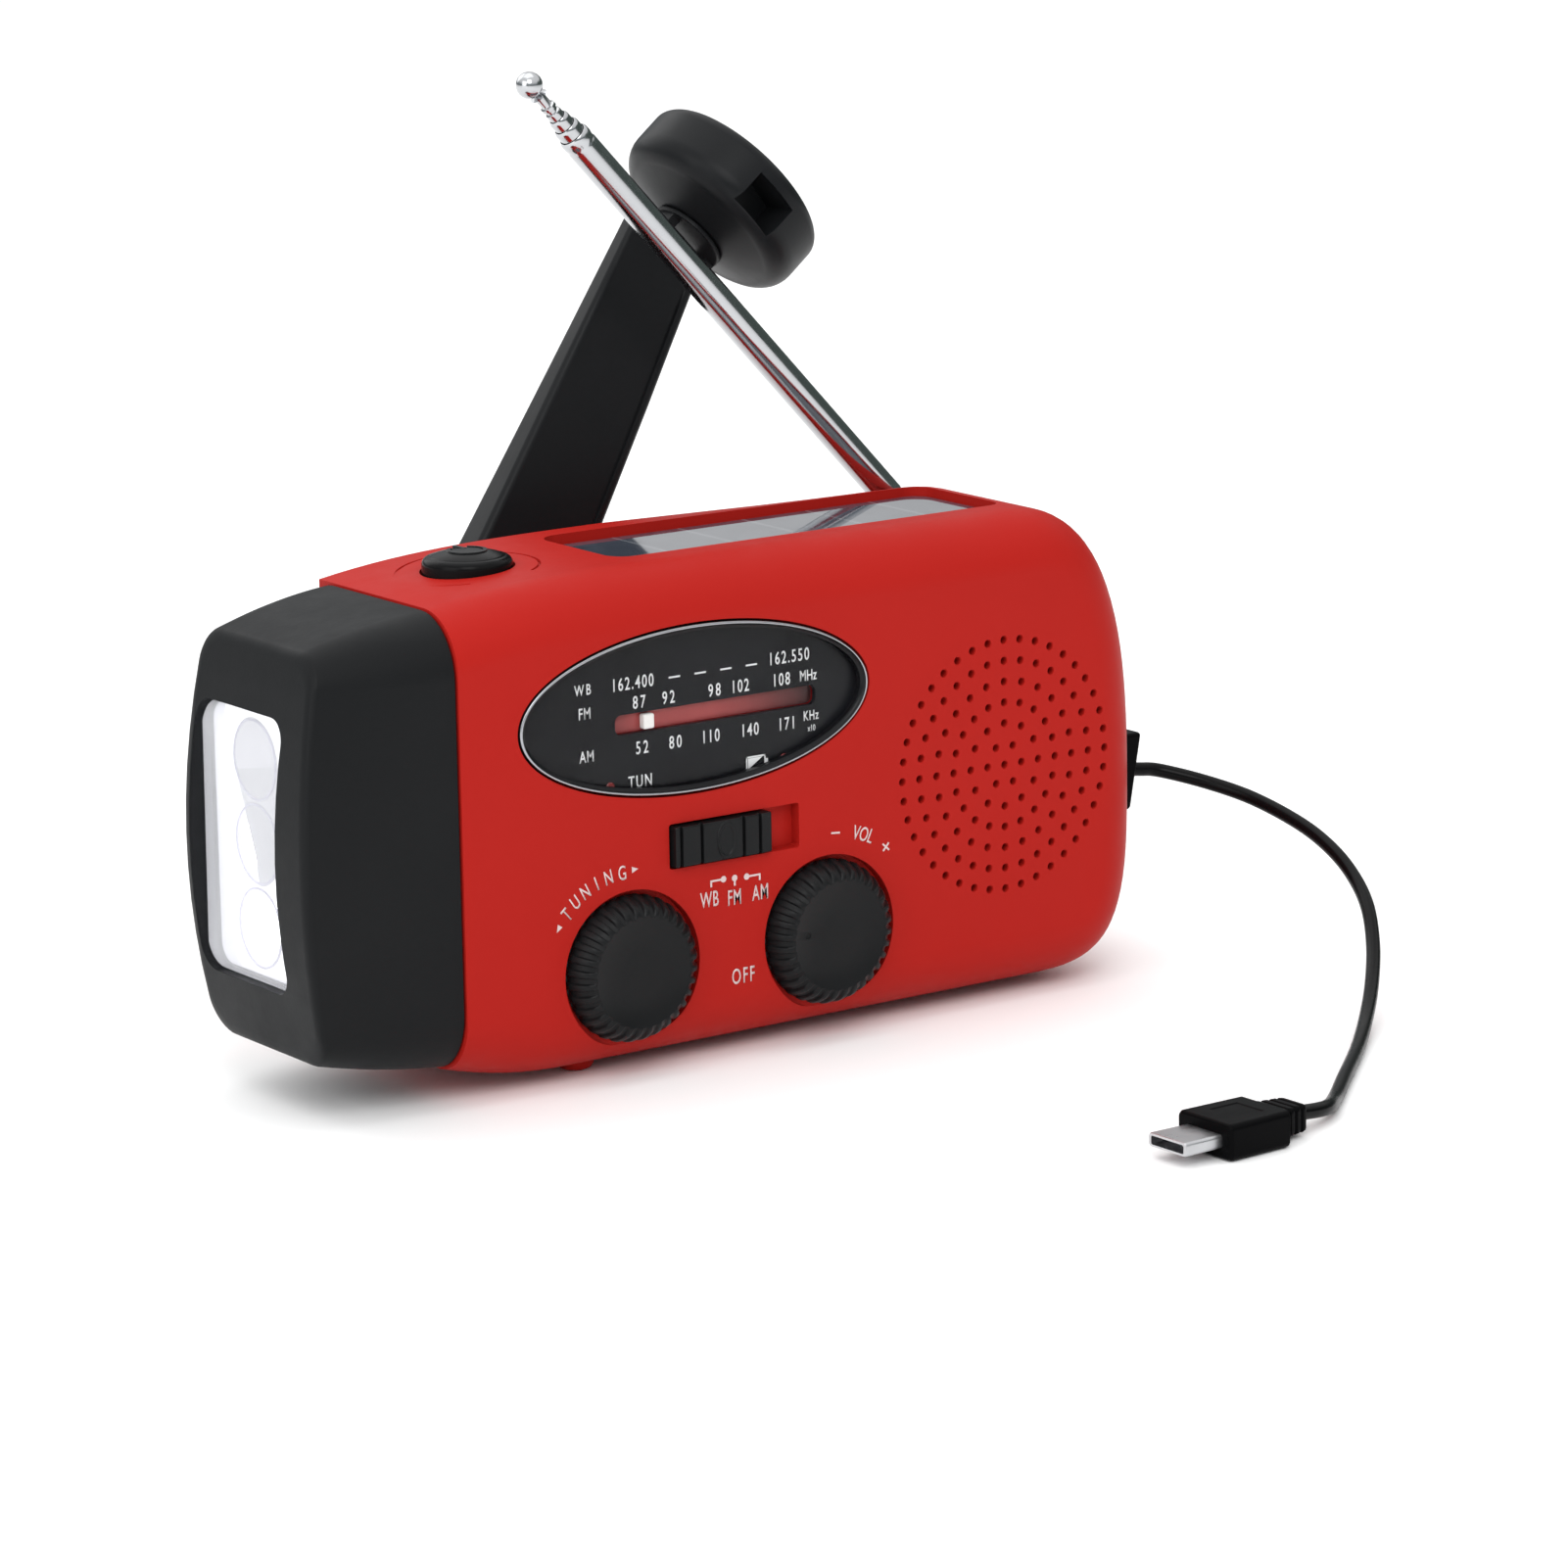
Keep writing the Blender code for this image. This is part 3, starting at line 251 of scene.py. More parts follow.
def dial_material():
    """Glossy black printed plate, with a faint random tone and dust."""
    m, nt, p = _nodes("dial_black_gloss")
    co = _coords(nt)
    n = _noise(nt, co, 90.0, 4.0)
    nt.links.new(_mix(nt, (0.004, 0.004, 0.005), (0.007, 0.0075, 0.009), _range(nt, n, 0.0, 1.0)), p.inputs["Base Color"])
    p.inputs["Roughness"].default_value = 0.30
    p.inputs["Specular IOR Level"].default_value = 0.2
    _bump(nt, _noise(nt, co, 1500.0, 2.0), p, 0.05, 0.00003)
    return m


def scale_material():
    """Red scale strip behind the dial: brightest round its middle and fading out to the ends."""
    m, nt, p = _nodes("scale_red")
    co = _coords(nt)
    sep = nt.nodes.new("ShaderNodeSeparateXYZ")
    nt.links.new(co, sep.inputs[0])
    x = sep.outputs["X"]
    a = _range(nt, x, 0.6, 1.0, -0.0195, -0.015)
    b = _range(nt, x, 1.0, 0.0, -0.004, 0.0110)
    f = _math(nt, "MULTIPLY", a, b)
    n = _range(nt, _noise(nt, co, 300.0, 3.0), 0.9, 1.0)
    f = _math(nt, "MULTIPLY", f, n)
    nt.links.new(_mix(nt, (0.035, 0.006, 0.006), (0.40, 0.062, 0.060), f), p.inputs["Base Color"])
    p.inputs["Roughness"].default_value = 0.45
    _bump(nt, _noise(nt, co, 1200.0, 2.0), p, 0.05, 0.00003)
    return m


def clear_material(name, tint=(0.9, 0.93, 0.95), alpha=0.10, rough=0.04):
    m, nt, p = _nodes(name)
    co = _coords(nt)
    n = _noise(nt, co, 120.0, 3.0)
    nt.links.new(_mix(nt, tint, tuple(c * 0.96 for c in tint), n), p.inputs["Base Color"])
    nt.links.new(_range(nt, _noise(nt, co, 200.0, 4.0), rough, rough + 0.05), p.inputs["Roughness"])
    p.inputs["Alpha"].default_value = alpha
    p.inputs["Specular IOR Level"].default_value = 0.3
    return m


def glow_material(name, col, strength, base=(0.9, 0.92, 0.95)):
    m, nt, p = _nodes(name)
    co = _coords(nt)
    n = _noise(nt, co, 400.0, 3.0)
    nt.links.new(_mix(nt, base, tuple(c * 0.95 for c in base), n), p.inputs["Base Color"])
    p.inputs["Roughness"].default_value = 0.15
    p.inputs["Emission Color"].default_value = (*col, 1.0)
    p.inputs["Emission Strength"].default_value = strength
    return m


def lens_material():
    """Clear window in front of the lit lamps, with a painted glow: its emission makes it read white, and the cups
    behind it show through faintly.
    """
    m, nt, p = _nodes("clear_lens_painted_glow")
    co = _coords(nt)
    n = _noise(nt, co, 400.0, 3.0)
    nt.links.new(_mix(nt, (0.92, 0.93, 0.95), (0.88, 0.89, 0.92), n), p.inputs["Base Color"])
    nt.links.new(_range(nt, n, 0.05, 0.09), p.inputs["Roughness"])
    p.inputs["Alpha"].default_value = 0.22
    # painted glow: the lens itself is no lamp, its emission paints it bright
    p.inputs["Emission Color"].default_value = (0.93, 0.93, 1.0, 1.0)
    p.inputs["Emission Strength"].default_value = 0.40
    return m


def solar_material():
    """Epoxy-topped silicon cells: dark blue-black cells, thin silver fingers, pale bus bars between cells."""
    m, nt, p = _nodes("solar_cells")
    co = _coords(nt)
    sep = nt.nodes.new("ShaderNodeSeparateXYZ")
    nt.links.new(co, sep.inputs[0])
    x, y = sep.outputs["X"], sep.outputs["Y"]

    def lines(v, pitch, width, phase=0.0):
        f = _math(nt, "FRACT", _math(nt, "ADD", _math(nt, "DIVIDE", v, pitch), phase))
        return _math(nt, "LESS_THAN", f, width / pitch)

    fingers = lines(y, 0.0016, 0.00010)
    cells = lines(x, 0.0102, 0.00045, 0.13)
    crystals = nt.nodes.new("ShaderNodeTexVoronoi")
    crystals.inputs["Scale"].default_value = 300.0
    nt.links.new(co, crystals.inputs["Vector"])
    base = _mix(nt, (0.030, 0.038, 0.055), (0.055, 0.065, 0.085), crystals.outputs["Color"])
    base = _mix(nt, base, (0.28, 0.30, 0.33), _math(nt, "MULTIPLY", fingers, 0.12))
    base = _mix(nt, base, (0.45, 0.47, 0.50), _math(nt, "MULTIPLY", cells, 0.22))
    nt.links.new(base, p.inputs["Base Color"])
    nt.links.new(_range(nt, _noise(nt, co, 50.0, 4.0), 0.05, 0.13), p.inputs["Roughness"])
    p.inputs["IOR"].default_value = 1.6
    p.inputs["Specular IOR Level"].default_value = 0.75
    p.inputs["Coat Weight"].default_value = 0.75
    p.inputs["Coat Roughness"].default_value = 0.05
    # the shading normal of the epoxy top is tilted slightly towards the front
    geo = nt.nodes.new("ShaderNodeNewGeometry")
    vadd = nt.nodes.new("ShaderNodeVectorMath")
    vadd.operation = "ADD"
    nt.links.new(geo.outputs["Normal"], vadd.inputs[0])
    vadd.inputs[1].default_value = (0.0, -0.14, 0.0)
    vnorm = nt.nodes.new("ShaderNodeVectorMath")
    vnorm.operation = "NORMALIZE"
    nt.links.new(vadd.outputs[0], vnorm.inputs[0])
    nt.links.new(vnorm.outputs[0], p.inputs["Normal"])
    nt.links.new(vnorm.outputs[0], p.inputs["Coat Normal"])
    return m


BOARD = board_material()
DIALM = dial_material()
SCALEM = scale_material()
CLEAR = clear_material("clear_window", (0.02, 0.022, 0.026), 0.03)
LENS = lens_material()
LEDM = glow_material("led_epoxy", (0.95, 0.96, 1.0), 4.0)
SOLARM = solar_material()

BODY_OF = {n: b for b, ns in frame["record"]["behaviour"]["bodies"].items() for n in ns}


# ------------------------------------------------------------------ mesh tools (millimetres, design frame)
def W3(p):
    return (Vector(p) + SHIFT) * MM


def make(name, bm, mat, recalc=True):
    if recalc:
        bmesh.ops.recalc_face_normals(bm, faces=bm.faces[:])
    me = bpy.data.meshes.new(name)
    bm.to_mesh(me)
    bm.free()
    if mat is not None:
        me.materials.append(mat)
    o = bpy.data.objects.new(name, me)
    bpy.context.scene.collection.objects.link(o)
    return o


def loft(name, loops, mat, closed_ring=False, cap=True):
    bm = bmesh.new()
    rows = [[bm.verts.new(W3(p)) for p in loop] for loop in loops]
    n = len(rows[0])
    pairs = list(zip(rows, rows[1:])) + ([(rows[-1], rows[0])] if closed_ring else [])
    for a, b in pairs:
        for i in range(n):
            j = (i + 1) % n
            bm.faces.new((a[i], a[j], b[j], b[i]))
    if not closed_ring and cap:
        bm.faces.new(rows[0][::-1])
        bm.faces.new(rows[-1])
    return make(name, bm, mat)


def basis(axis):
    a = Vector(axis).normalized()
    u = Vector((0, 0, 1)) if abs(a.z) < 0.9 else Vector((1, 0, 0))
    u = (u - a * u.dot(a)).normalized()
    return a, u, a.cross(u)


def turned(name, profile, origin, axis, mat, seg=64, ring=False, fr=None, turn=0.0):
    a, u, w = fr or basis(axis)
    o = Vector(origin)
    loops = []
    for r, h in profile:
        loops.append([o + a * h + (u * math.cos(t) + w * math.sin(t)) * r
                      for t in (turn + 2 * math.pi * i / seg for i in range(seg))])
    return loft(name, loops, mat, closed_ring=ring)


def rod(name, p0, p1, r, mat=None, seg=48):
    p0, p1 = Vector(p0), Vector(p1)
    d = p1 - p0
    return turned(name, [(r, 0), (r, d.length)], p0, d, mat, seg)


def box(name, x0, x1, y0, y1, z0, z1, mat=None, bevel=0.0, seg=3):
    bm = bmesh.new()
    bmesh.ops.create_cube(bm, size=1.0)
    for v in bm.verts:
        v.co = W3(((x0 + x1) / 2 + v.co.x * (x1 - x0), (y0 + y1) / 2 + v.co.y * (y1 - y0), (z0 + z1) / 2 + v.co.z * (z1 - z0)))
    if bevel:
        bmesh.ops.bevel(bm, geom=bm.edges[:], offset=bevel * MM, segments=seg, profile=0.5, affect="EDGES", clamp_overlap=True)
    return make(name, bm, mat)


def prism_y(name, pts, y0, y1, mat=None):
    return loft(name, [[(x, y0, z) for x, z in pts], [(x, y1, z) for x, z in pts]], mat)


def ellipse(c, a, b, n):
    return [(c[0] + a * math.cos(2 * math.pi * i / n), c[1] + b * math.sin(2 * math.pi * i / n)) for i in range(n)]


def rounded(x0, x1, z0, z1, r, n=8):
    pts = []
    for cx, cz, a0 in ((x1 - r, z1 - r, 0), (x0 + r, z1 - r, 90), (x0 + r, z0 + r, 180), (x1 - r, z0 + r, 270)):
        for i in range(n + 1):
            t = math.radians(a0 + 90.0 * i / n)
            pts.append((cx + r * math.cos(t), cz + r * math.sin(t)))
    return pts


def boolean(target, tool, op="DIFFERENCE"):
    m = target.modifiers.new("bool", "BOOLEAN")
    m.object = tool
    m.operation = op
    m.solver = "EXACT"
    bpy.context.view_layer.update()
    dg = bpy.context.evaluated_depsgraph_get()
    me = bpy.data.meshes.new_from_object(target.evaluated_get(dg))
    target.modifiers.clear()
    target.data = me
    bpy.data.objects.remove(tool, do_unlink=True)
    return target


def merge(objs, name):
    """One object from several meshes of one material."""
    bm = bmesh.new()
    mat = objs[0].data.materials[0] if objs[0].data.materials else None
    for o in objs:
        me = o.data
        bm.from_mesh(me)
        bpy.data.objects.remove(o, do_unlink=True)
    return make(name, bm, mat, recalc=False)


def finish_piece(o, node=None, body=None, bevel=0.0, seg=2, angle=32.0, sharp=34.0, weighted=True):
    """Small moulded edge radii, weighted normals, then the piece rides on its body and stands for its node."""
    me = o.data
    if hasattr(me, "shade_smooth"):
        me.shade_smooth()
    if bevel:
        b = o.modifiers.new("edge_radius", "BEVEL")
        b.width = bevel * MM
        b.segments = seg
        b.limit_method = "ANGLE"
        b.angle_limit = math.radians(angle)
        b.use_clamp_overlap = True
        b.miter_outer = "MITER_ARC"
        b.harden_normals = False
    else:
        me.set_sharp_from_angle(angle=math.radians(sharp))
    if weighted:
        w = o.modifiers.new("weighted", "WEIGHTED_NORMAL")
        w.mode = "FACE_AREA"
        w.weight = 80
        w.keep_sharp = True
    if node:
        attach(o, BODY_OF[node])
        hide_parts(node)
    else:
        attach(o, body)
    return o


def text(body, x, z, size, y=FRONT - 0.03, wide=0.72, turn=0.0, spacing=1.0, bold=0.010):
    """Flat lettering on the front, centred at (x, z), size = letter height in mm."""
    cu = bpy.data.curves.new("t", "FONT")
    cu.body = body
    cu.size = 1.0
    cu.space_character = spacing
    cu.extrude = 0.0
    cu.resolution_u = 4
    cu.offset = bold
    o = bpy.data.objects.new("t", cu)
    bpy.context.scene.collection.objects.link(o)
    bpy.context.view_layer.update()
    me = bpy.data.meshes.new_from_object(o.evaluated_get(bpy.context.evaluated_depsgraph_get()))
    bpy.data.objects.remove(o, do_unlink=True)
    xs = [v.co.x for v in me.vertices]
    ys = [v.co.y for v in me.vertices]
    cx, cy, h = (min(xs) + max(xs)) / 2, (min(ys) + max(ys)) / 2, 0.70
    k = size / h
    c, s = math.cos(turn), math.sin(turn)
    bm = bmesh.new()
    bm.from_mesh(me)
    for v in bm.verts:
        u, w = (v.co.x - cx) * k * wide, (v.co.y - cy) * k
        v.co = W3((x + u * c - w * s, y, z + u * s + w * c))
    # a thin ink layer
    ret = bmesh.ops.extrude_face_region(bm, geom=bm.faces[:])
    for v in [g for g in ret["geom"] if isinstance(g, bmesh.types.BMVert)]:
        v.co.y += -0.00002
    return make("t", bm, None)


def dash(x0, x1, z, h, y=FRONT - 0.03):
    return box("t", x0, x1, y - 0.02, y, z - h / 2, z + h / 2)


def flat_shape(pts, y=FRONT - 0.03, t=0.02):
    return prism_y("t", pts, y - t, y)


def print_layer(objs, name, mat, body="casing"):
    o = merge(objs, name)
    o.data.materials.clear()
    o.data.materials.append(mat)
    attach(o, body)
    return o


# ------------------------------------------------------------------ camera first
cam_data = bpy.data.cameras.new("camera")
cam_data.sensor_width = 36.0
cam_data.lens = 6000.0 / 1601.0 * 36.0
cam_data.clip_start, cam_data.clip_end = 0.01, 20.0
cam = bpy.data.objects.new("camera", cam_data)
bpy.context.scene.collection.objects.link(cam)
RX = Vector((0.81547876, -0.57858514, -0.01528522))
RY = Vector((-0.13954616, -0.17091421, -0.97535389))
RZ = Vector((0.5617128, 0.79751337, -0.22011624))
m = Matrix((RX, -RY, -RZ)).transposed().to_4x4()
m.translation = W3((-412.6, -609.9, 196.5))
cam.matrix_world = m
bpy.context.scene.camera = cam


# ------------------------------------------------------------------ casing form
def inset(d, a, b):
    if d >= b:
        return 0.0
    return a * (1 - math.sqrt(max(0.0, 1 - ((b - d) / b) ** 2)))


def outline(step=1.0):
    pts = []
    n = int(8 * step)
    for i in range(n + 1):
        x = HEAD_X + (40.0 - HEAD_X) * i / n
        pts.append((x, TOP - 2.2 * (max(0.0, -x - 5.0) / 38.6) ** 3))
    n = max(4, int(12 * step))
    for i in range(n):
        t = math.pi / 2 * (1 - i / n)
        c, s = math.cos(t), math.sin(t)
        pts.append((44.2 + (CASE_X - 44.2) * c ** (2 / 2.66), 25.4 + (TOP - 25.4) * s ** (2 / 2.66)))
    n = max(4, int(9 * step))
    for i in range(n + 1):
        t = math.pi / 2 * i / n
        c, s = math.cos(t), math.sin(t)
        pts.append((46.9 + (CASE_X - 46.9) * max(c, 0.0) ** (2 / 3.24), 25.4 - 25.4 * s ** (2 / 3.24)))
    n = max(3, int(3 * step))
    for i in range(1, n + 1):
        pts.append((46.9 - 73.4 * i / n, 0.0))
    n = max(4, int(4 * step))
    for i in range(1, n + 1):
        f = i / n
        pts.append((-26.5 + (HEAD_X + 26.5) * f, 2.6 * f * f))
    return pts


def even(pts, n):
    """The outline again, its points spread by length and by turning."""
    cum = [0.0]
    for i in range(1, len(pts)):
        a, b = Vector(pts[i - 1]), Vector(pts[i])
        turn = 0.0
        if 1 < i:
            d0, d1 = (a - Vector(pts[i - 2])), (b - a)
            if d0.length > 1e-6 and d1.length > 1e-6:
                turn = abs(d0.angle(d1, 0.0))
        cum.append(cum[-1] + (b - a).length + 14.0 * turn)
    out, j = [], 0
    for i in range(n + 1):
        s = cum[-1] * i / n
        while j < len(cum) - 2 and cum[j + 1] < s:
            j += 1
        f = (s - cum[j]) / max(1e-9, cum[j + 1] - cum[j])
        out.append(tuple(Vector(pts[j]).lerp(Vector(pts[j + 1]), min(1.0, max(0.0, f)))))
    return out


def drawn_in(pts, d, left):
    out = []
    n = len(pts)
    for i, (x, z) in enumerate(pts):
        x0, z0 = pts[max(0, i - 1)]
        x1, z1 = pts[min(n - 1, i + 1)]
        tx, tz = x1 - x0, z1 - z0
        k = math.hypot(tx, tz)
        out.append([x + tz / k * d, z - tx / k * d])
    out[0][0] = out[-1][0] = left
    return [tuple(p) for p in out]


def casing_loops(levels, extra, left, base):
    loops = []
    for y in levels:
        f, b = inset(y - FRONT, FRONT_A, FRONT_B), inset(BACK - y, BACK_A, BACK_B)
        near, far = drawn_in(base, extra + f, left), drawn_in(base, extra + max(f, b), left)
        loop = []
        for (x0, z0), (x1, z1) in zip(near, far):
            w = min(1.0, max(0.0, x0 / 47.0)) if z0 > 50.0 and y < SEAM_F + 0.1 else 1.0
            loop.append((x0 + (x1 - x0) * w, y, z0 + (z1 - z0) * w))
        loops.append(loop)
    return loops


BASE = even(outline(12.0), 110)
BASE_IN = even(outline(12.0), 60)
# depth levels evenly spread in angle round the edge, so that the rounding is smooth
edge = [FRONT + FRONT_B * (1 - math.cos(math.pi / 2 * i / 12)) for i in range(13)]
levels = edge + [-4.0, 3.0, 9.2, 10.4, 11.6, 12.6, 13.5, SEAM_F]
front = loft("front_housing", casing_loops(levels, 0.0, HEAD_X, BASE), RED)
cav = [FRONT + FRONT_WALL, FRONT + 4.6, FRONT + 7.0, 0.0, 12.2]
boolean(front, loft("c", casing_loops(cav, WALL, HEAD_X + WALL, BASE_IN), RED))
keep = []
for p in [(x, min(z, LEDGE_Z - 2.4)) for x, z in drawn_in(BASE_IN, WALL + 0.6, HEAD_X + WALL)]:
    if not keep or (abs(p[0] - keep[-1][0]) + abs(p[1] - keep[-1][1])) > 0.05:
        keep.append(p)
boolean(front, prism_y("c", keep, 11.9, 15.5, RED))
for bx, bz in BOSSES:
    dx = (3.6, 3.3) if bx < 0 else (3.3, 3.6)
    boolean(front, box("c", bx - dx[0], bx + dx[1], 6.0, SEAM_F, bz - 3.2, bz + 3.2, RED), "UNION")
boolean(front, box("c", 48.0, 54.6, 9.5, SEAM_F, 49.0, 57.2, RED), "UNION")
for fx, fy in FEET:
    prof = [(0.4, -FOOT_H), (FOOT_R - 0.9, -FOOT_H), (FOOT_R - 0.35, -FOOT_H + 0.25), (FOOT_R, -FOOT_H + 0.8), (FOOT_R, 1.2)]
    boolean(front, turned("c", prof, (fx, fy, 0), (0, 0, 1), RED, 32), "UNION")
for bx, bz in BOSSES:
    boolean(front, rod("c", (bx, 7.0, bz), (bx, 16.0, bz), 1.45, RED, 20))
boolean(front, rod("c", (ANT.x, 10.5, ANT.z), (ANT.x, 16.0, ANT.z), 1.5, RED, 20))
boolean(front, prism_y("c", ellipse(DIAL, DIAL_A, DIAL_B, 128), FRONT - 3, FRONT + 2.6, RED))
boolean(front, prism_y("c", rounded(SLOT[0], SLOT[1], SLOT[2], SLOT[3], 0.35, 4), FRONT - 3, -16.2, RED))
boolean(front, box("c", -7.5, 1.2, -17.0, -14.0, 26.4, 28.6, RED))
for kx, kz in (TUNE, VOL):
    boolean(front, rod("c", (kx, FRONT - 3, kz), (kx, -16.4, kz), KNOB_R + 0.5, RED, 96))
    boolean(front, rod("c", (kx, -17.0, kz), (kx, -14.0, kz), 3.3, RED, 32))
boolean(front, rod("c", (BUTTON[0], BUTTON[1], 57.0), (BUTTON[0], BUTTON[1], 66.0), 6.0, RED, 64))
boolean(front, box("c", SOLAR[0] - 2.0, SOLAR[1] + 1.4, SOLAR[2] - 2.0, 12.2, 54.0, 59.9, RED))
sol = rounded(SOLAR[0], SOLAR[1], SOLAR[2], SOLAR[3], 3.0, 8)
boolean(front, loft("c", [[(x, y, 56.0) for x, y in sol], [(x, y, 66.0) for x, y in sol]], RED))
boolean(front, box("c", 57.0, 66.0, USB[0] - 3.6, USB[0] + 3.6, USB[1] - 5.6, USB[1] + 5.6, RED))
# a shallow engraved arc round the light button
arc = []
tilt = Matrix.Rotation(-math.radians(2.6), 3, "Y")
N = 60
for i in range(N + 1):
    t = math.radians(-150 + 300 * i / N)
    ring = []
    for r, h in ((8.80, -0.55), (9.2, -0.55), (9.22, 1.2), (8.78, 1.2)):
        v = tilt @ Vector((r * math.cos(t - math.pi / 2 + math.pi), r * math.sin(t - math.pi / 2 + math.pi), h))
        ring.append(Vector((BUTTON[0], BUTTON[1], BZ + 0.02)) + v)
    arc.append(ring)
boolean(front, loft("c", arc, RED))
bm = bmesh.new()
for k, n in enumerate(RING_COUNTS):
    for i in range(n):
        t = 2 * math.pi * i / n
        cx, cz = SPK[0] + RING * k * math.cos(t), SPK[1] + RING * k * math.sin(t)
        rows = []
        for y, r in ((FRONT - 1.0, HOLE_R + 0.55), (FRONT + 0.14, HOLE_R), (FRONT + FRONT_WALL + 1.0, HOLE_R)):
            if y < FRONT:
                y, r = FRONT - 0.4, HOLE_R + 0.30
            rows.append([bm.verts.new(W3((cx + r * math.cos(a), y, cz + r * math.sin(a)))) for a in (2 * math.pi * j / 14 for j in range(14))])
        for ra, rb in zip(rows, rows[1:]):
            for j in range(14):
                q = (j + 1) % 14
                bm.faces.new((ra[j], ra[q], rb[q], rb[j]))
        bm.faces.new(rows[0][::-1])
        bm.faces.new(rows[-1])
boolean(front, make("c", bm, RED))
finish_piece(front, "front_cover", bevel=0.22, seg=2)

# ------------------------------------------------------------------ rear cover
lv = [SEAM_R, 15.2, 15.8, 16.4, 16.9, 17.3, 17.6, 17.8, BACK]
rear = loft("rear_shell", casing_loops(lv, 0.0, HEAD_X, BASE), RED)
boolean(rear, box("c", -70, 80, 10, 25, LEDGE_Z, 80, RED))
keep = []
for p in [(10.0 + (x - 10.0) * 0.85, min(29.0 + (z - 29.0) * 0.7, LEDGE_Z - 3.0)) for x, z in BASE_IN]:
    if not keep or (abs(p[0] - keep[-1][0]) + abs(p[1] - keep[-1][1])) > 0.05:
        keep.append(p)
boolean(rear, prism_y("c", keep, 13.0, 16.0, RED))
for bx, bz in BOSSES:
    boolean(rear, rod("c", (bx, 13.0, bz), (bx, 20.0, bz), 1.45, RED, 20))
    boolean(rear, rod("c", (bx, 16.3, bz), (bx, 20.0, bz), 2.7, RED, 32))
boolean(rear, rod("c", (HUB.x, 13.0, HUB.z), (HUB.x, 20.0, HUB.z), 5.3, RED, 48))
# blank rating panel and a shallow ring round the crank's hub
boolean(rear, prism_y("c", rounded(4.0, 44.0, 8.0, 24.0, 1.5, 6), 17.55, 20.0, RED))
boolean(rear, turned("c", [(11.2, 17.55), (12.0, 17.55), (12.0, 19.0), (11.2, 19.0)], (HUB.x, 0, HUB.z), (0, 1, 0), RED, 96, ring=True))
finish_piece(rear, "rear_cover", bevel=0.2, seg=2)


def cross_screw(name, node, c, y0, y1, r, mat=STEEL, seg=40):
    """Pan head with a cross recess; its shank reaches inwards."""
    h = y1 - y0
    prof = [(1.15 if node.startswith("cover") else 1.25, 8.0 if node.startswith("cover") else 11.0),
            (1.15 if node.startswith("cover") else 1.25, y0), (r, y0)]
    for i in range(7):
        t = math.pi / 2 * i / 6
        prof.append((r - 0.45 + 0.45 * math.cos(t) if i < 6 else r - 0.6, y0 + h * 0.45 + (h * 0.5) * math.sin(t)))
    prof.append((0.2, y1))
    s = turned(name, prof, (c[0], 0, c[1]), (0, 1, 0), mat, seg)
    for a in (0.4, 0.4 + math.pi / 2):
        d = Vector((math.cos(a), 0, math.sin(a)))
        n = Vector((-d.z, 0, d.x))
        lp = []
        for y, k in ((y1 - 0.75, 0.6), (y1 + 0.5, 1.0)):
            cc = Vector((c[0], y, c[1]))
            lp.append([cc + d * (r * 0.62 * k) * sx + n * 0.28 * sn for sx, sn in ((-1, -1), (1, -1), (1, 1), (-1, 1))])
        boolean(s, loft("c", lp, mat))
    return finish_piece(s, node, sharp=40)


for i, c in enumerate(BOSSES):
    cross_screw("cover_screw_%d_fine" % (i + 1), "cover_screw_%d" % (i + 1), c, 16.6, 17.7, 2.3)
cross_screw("antenna_screw_fine", "antenna_screw", (ANT.x, ANT.z), 18.9, 19.7, 2.1, CHROME)


# ------------------------------------------------------------------ flashlight head
def head_loop(s, d, n=10, mid=9):
    e = s ** 1.25
    yf, yb = FRONT + 0.25 + 3.0 * e + d, BACK - 0.25 - 5.4 * e - d
    zt, zb = 60.4 - 3.0 * e - d, 2.9 + 3.2 * e + d
    az, ay = 8.0 - 4.1 * e, 7.4 - 3.4 * e
    x0 = HEAD_X - 0.3
    chain = []
    for i in range(n + 1):
        t = math.pi / 2 * (1 - i / n)
        chain.append((ay * (1 - math.cos(t)), zb + az * (1 - math.sin(t))))
    for i in range(1, mid + 1):
        chain.append((0.0, zb + az + (zt - zb - 2 * az) * i / (mid + 1)))
    for i in range(n + 1):
        t = math.pi / 2 * i / n
        chain.append((ay * (1 - math.cos(t)), zt - az * (1 - math.sin(t))))
    pts = [(yf + q - 2.4 * e * max(0.0, 1.0 - ((z - 31.0) / 25.0) ** 2), z) for q, z in chain] + [(yb - q, z) for q, z in reversed(chain)]
    out = []
    for y, z in pts:
        depth = (x0 - HEAD_END) - 3.6 * ((z - 31.0) / 25.0) ** 2 * s
        out.append((x0 - depth * s, y, z))
    return out


def head_solid(name, sections, mat):
    bm = bmesh.new()
    rows = [[bm.verts.new(W3(p)) for p in loop] for loop in sections]
    n = len(rows[0])
    for a, b in zip(rows, rows[1:]):
        for i in range(n):
            bm.faces.new((a[i], a[(i + 1) % n], b[(i + 1) % n], b[i]))
    for row in (rows[0], rows[-1]):
        for i in range(n // 2 - 1):
            bm.faces.new((row[i], row[i + 1], row[n - 2 - i], row[n - 1 - i]))
    return make(name, bm, mat)


secs = [head_loop(i / 14.0 * 0.95, 0.0) for i in range(15)]
secs += [head_loop(0.967, 0.05), head_loop(0.98, 0.2), head_loop(0.99, 0.45), head_loop(0.997, 0.85), head_loop(1.0, 1.4)]
head = head_solid("torch_head_shell", secs, BLACK)
boolean(head, head_solid("c", [[(x + 2.0, y, z) for x, y, z in head_loop(0.0, 2.2)], head_loop(0.45, 2.2), head_loop(0.85, 2.4)], BLACK))
win = rounded(-10.0, 10.6, 14.7, 49.1, 3.0, 8)
boolean(head, loft("c", [[(-70.0, y, z) for y, z in win], [(-59.0, y, z) for y, z in win]], BLACK))
finish_piece(head, "flashlight_head", bevel=0.25, seg=2)

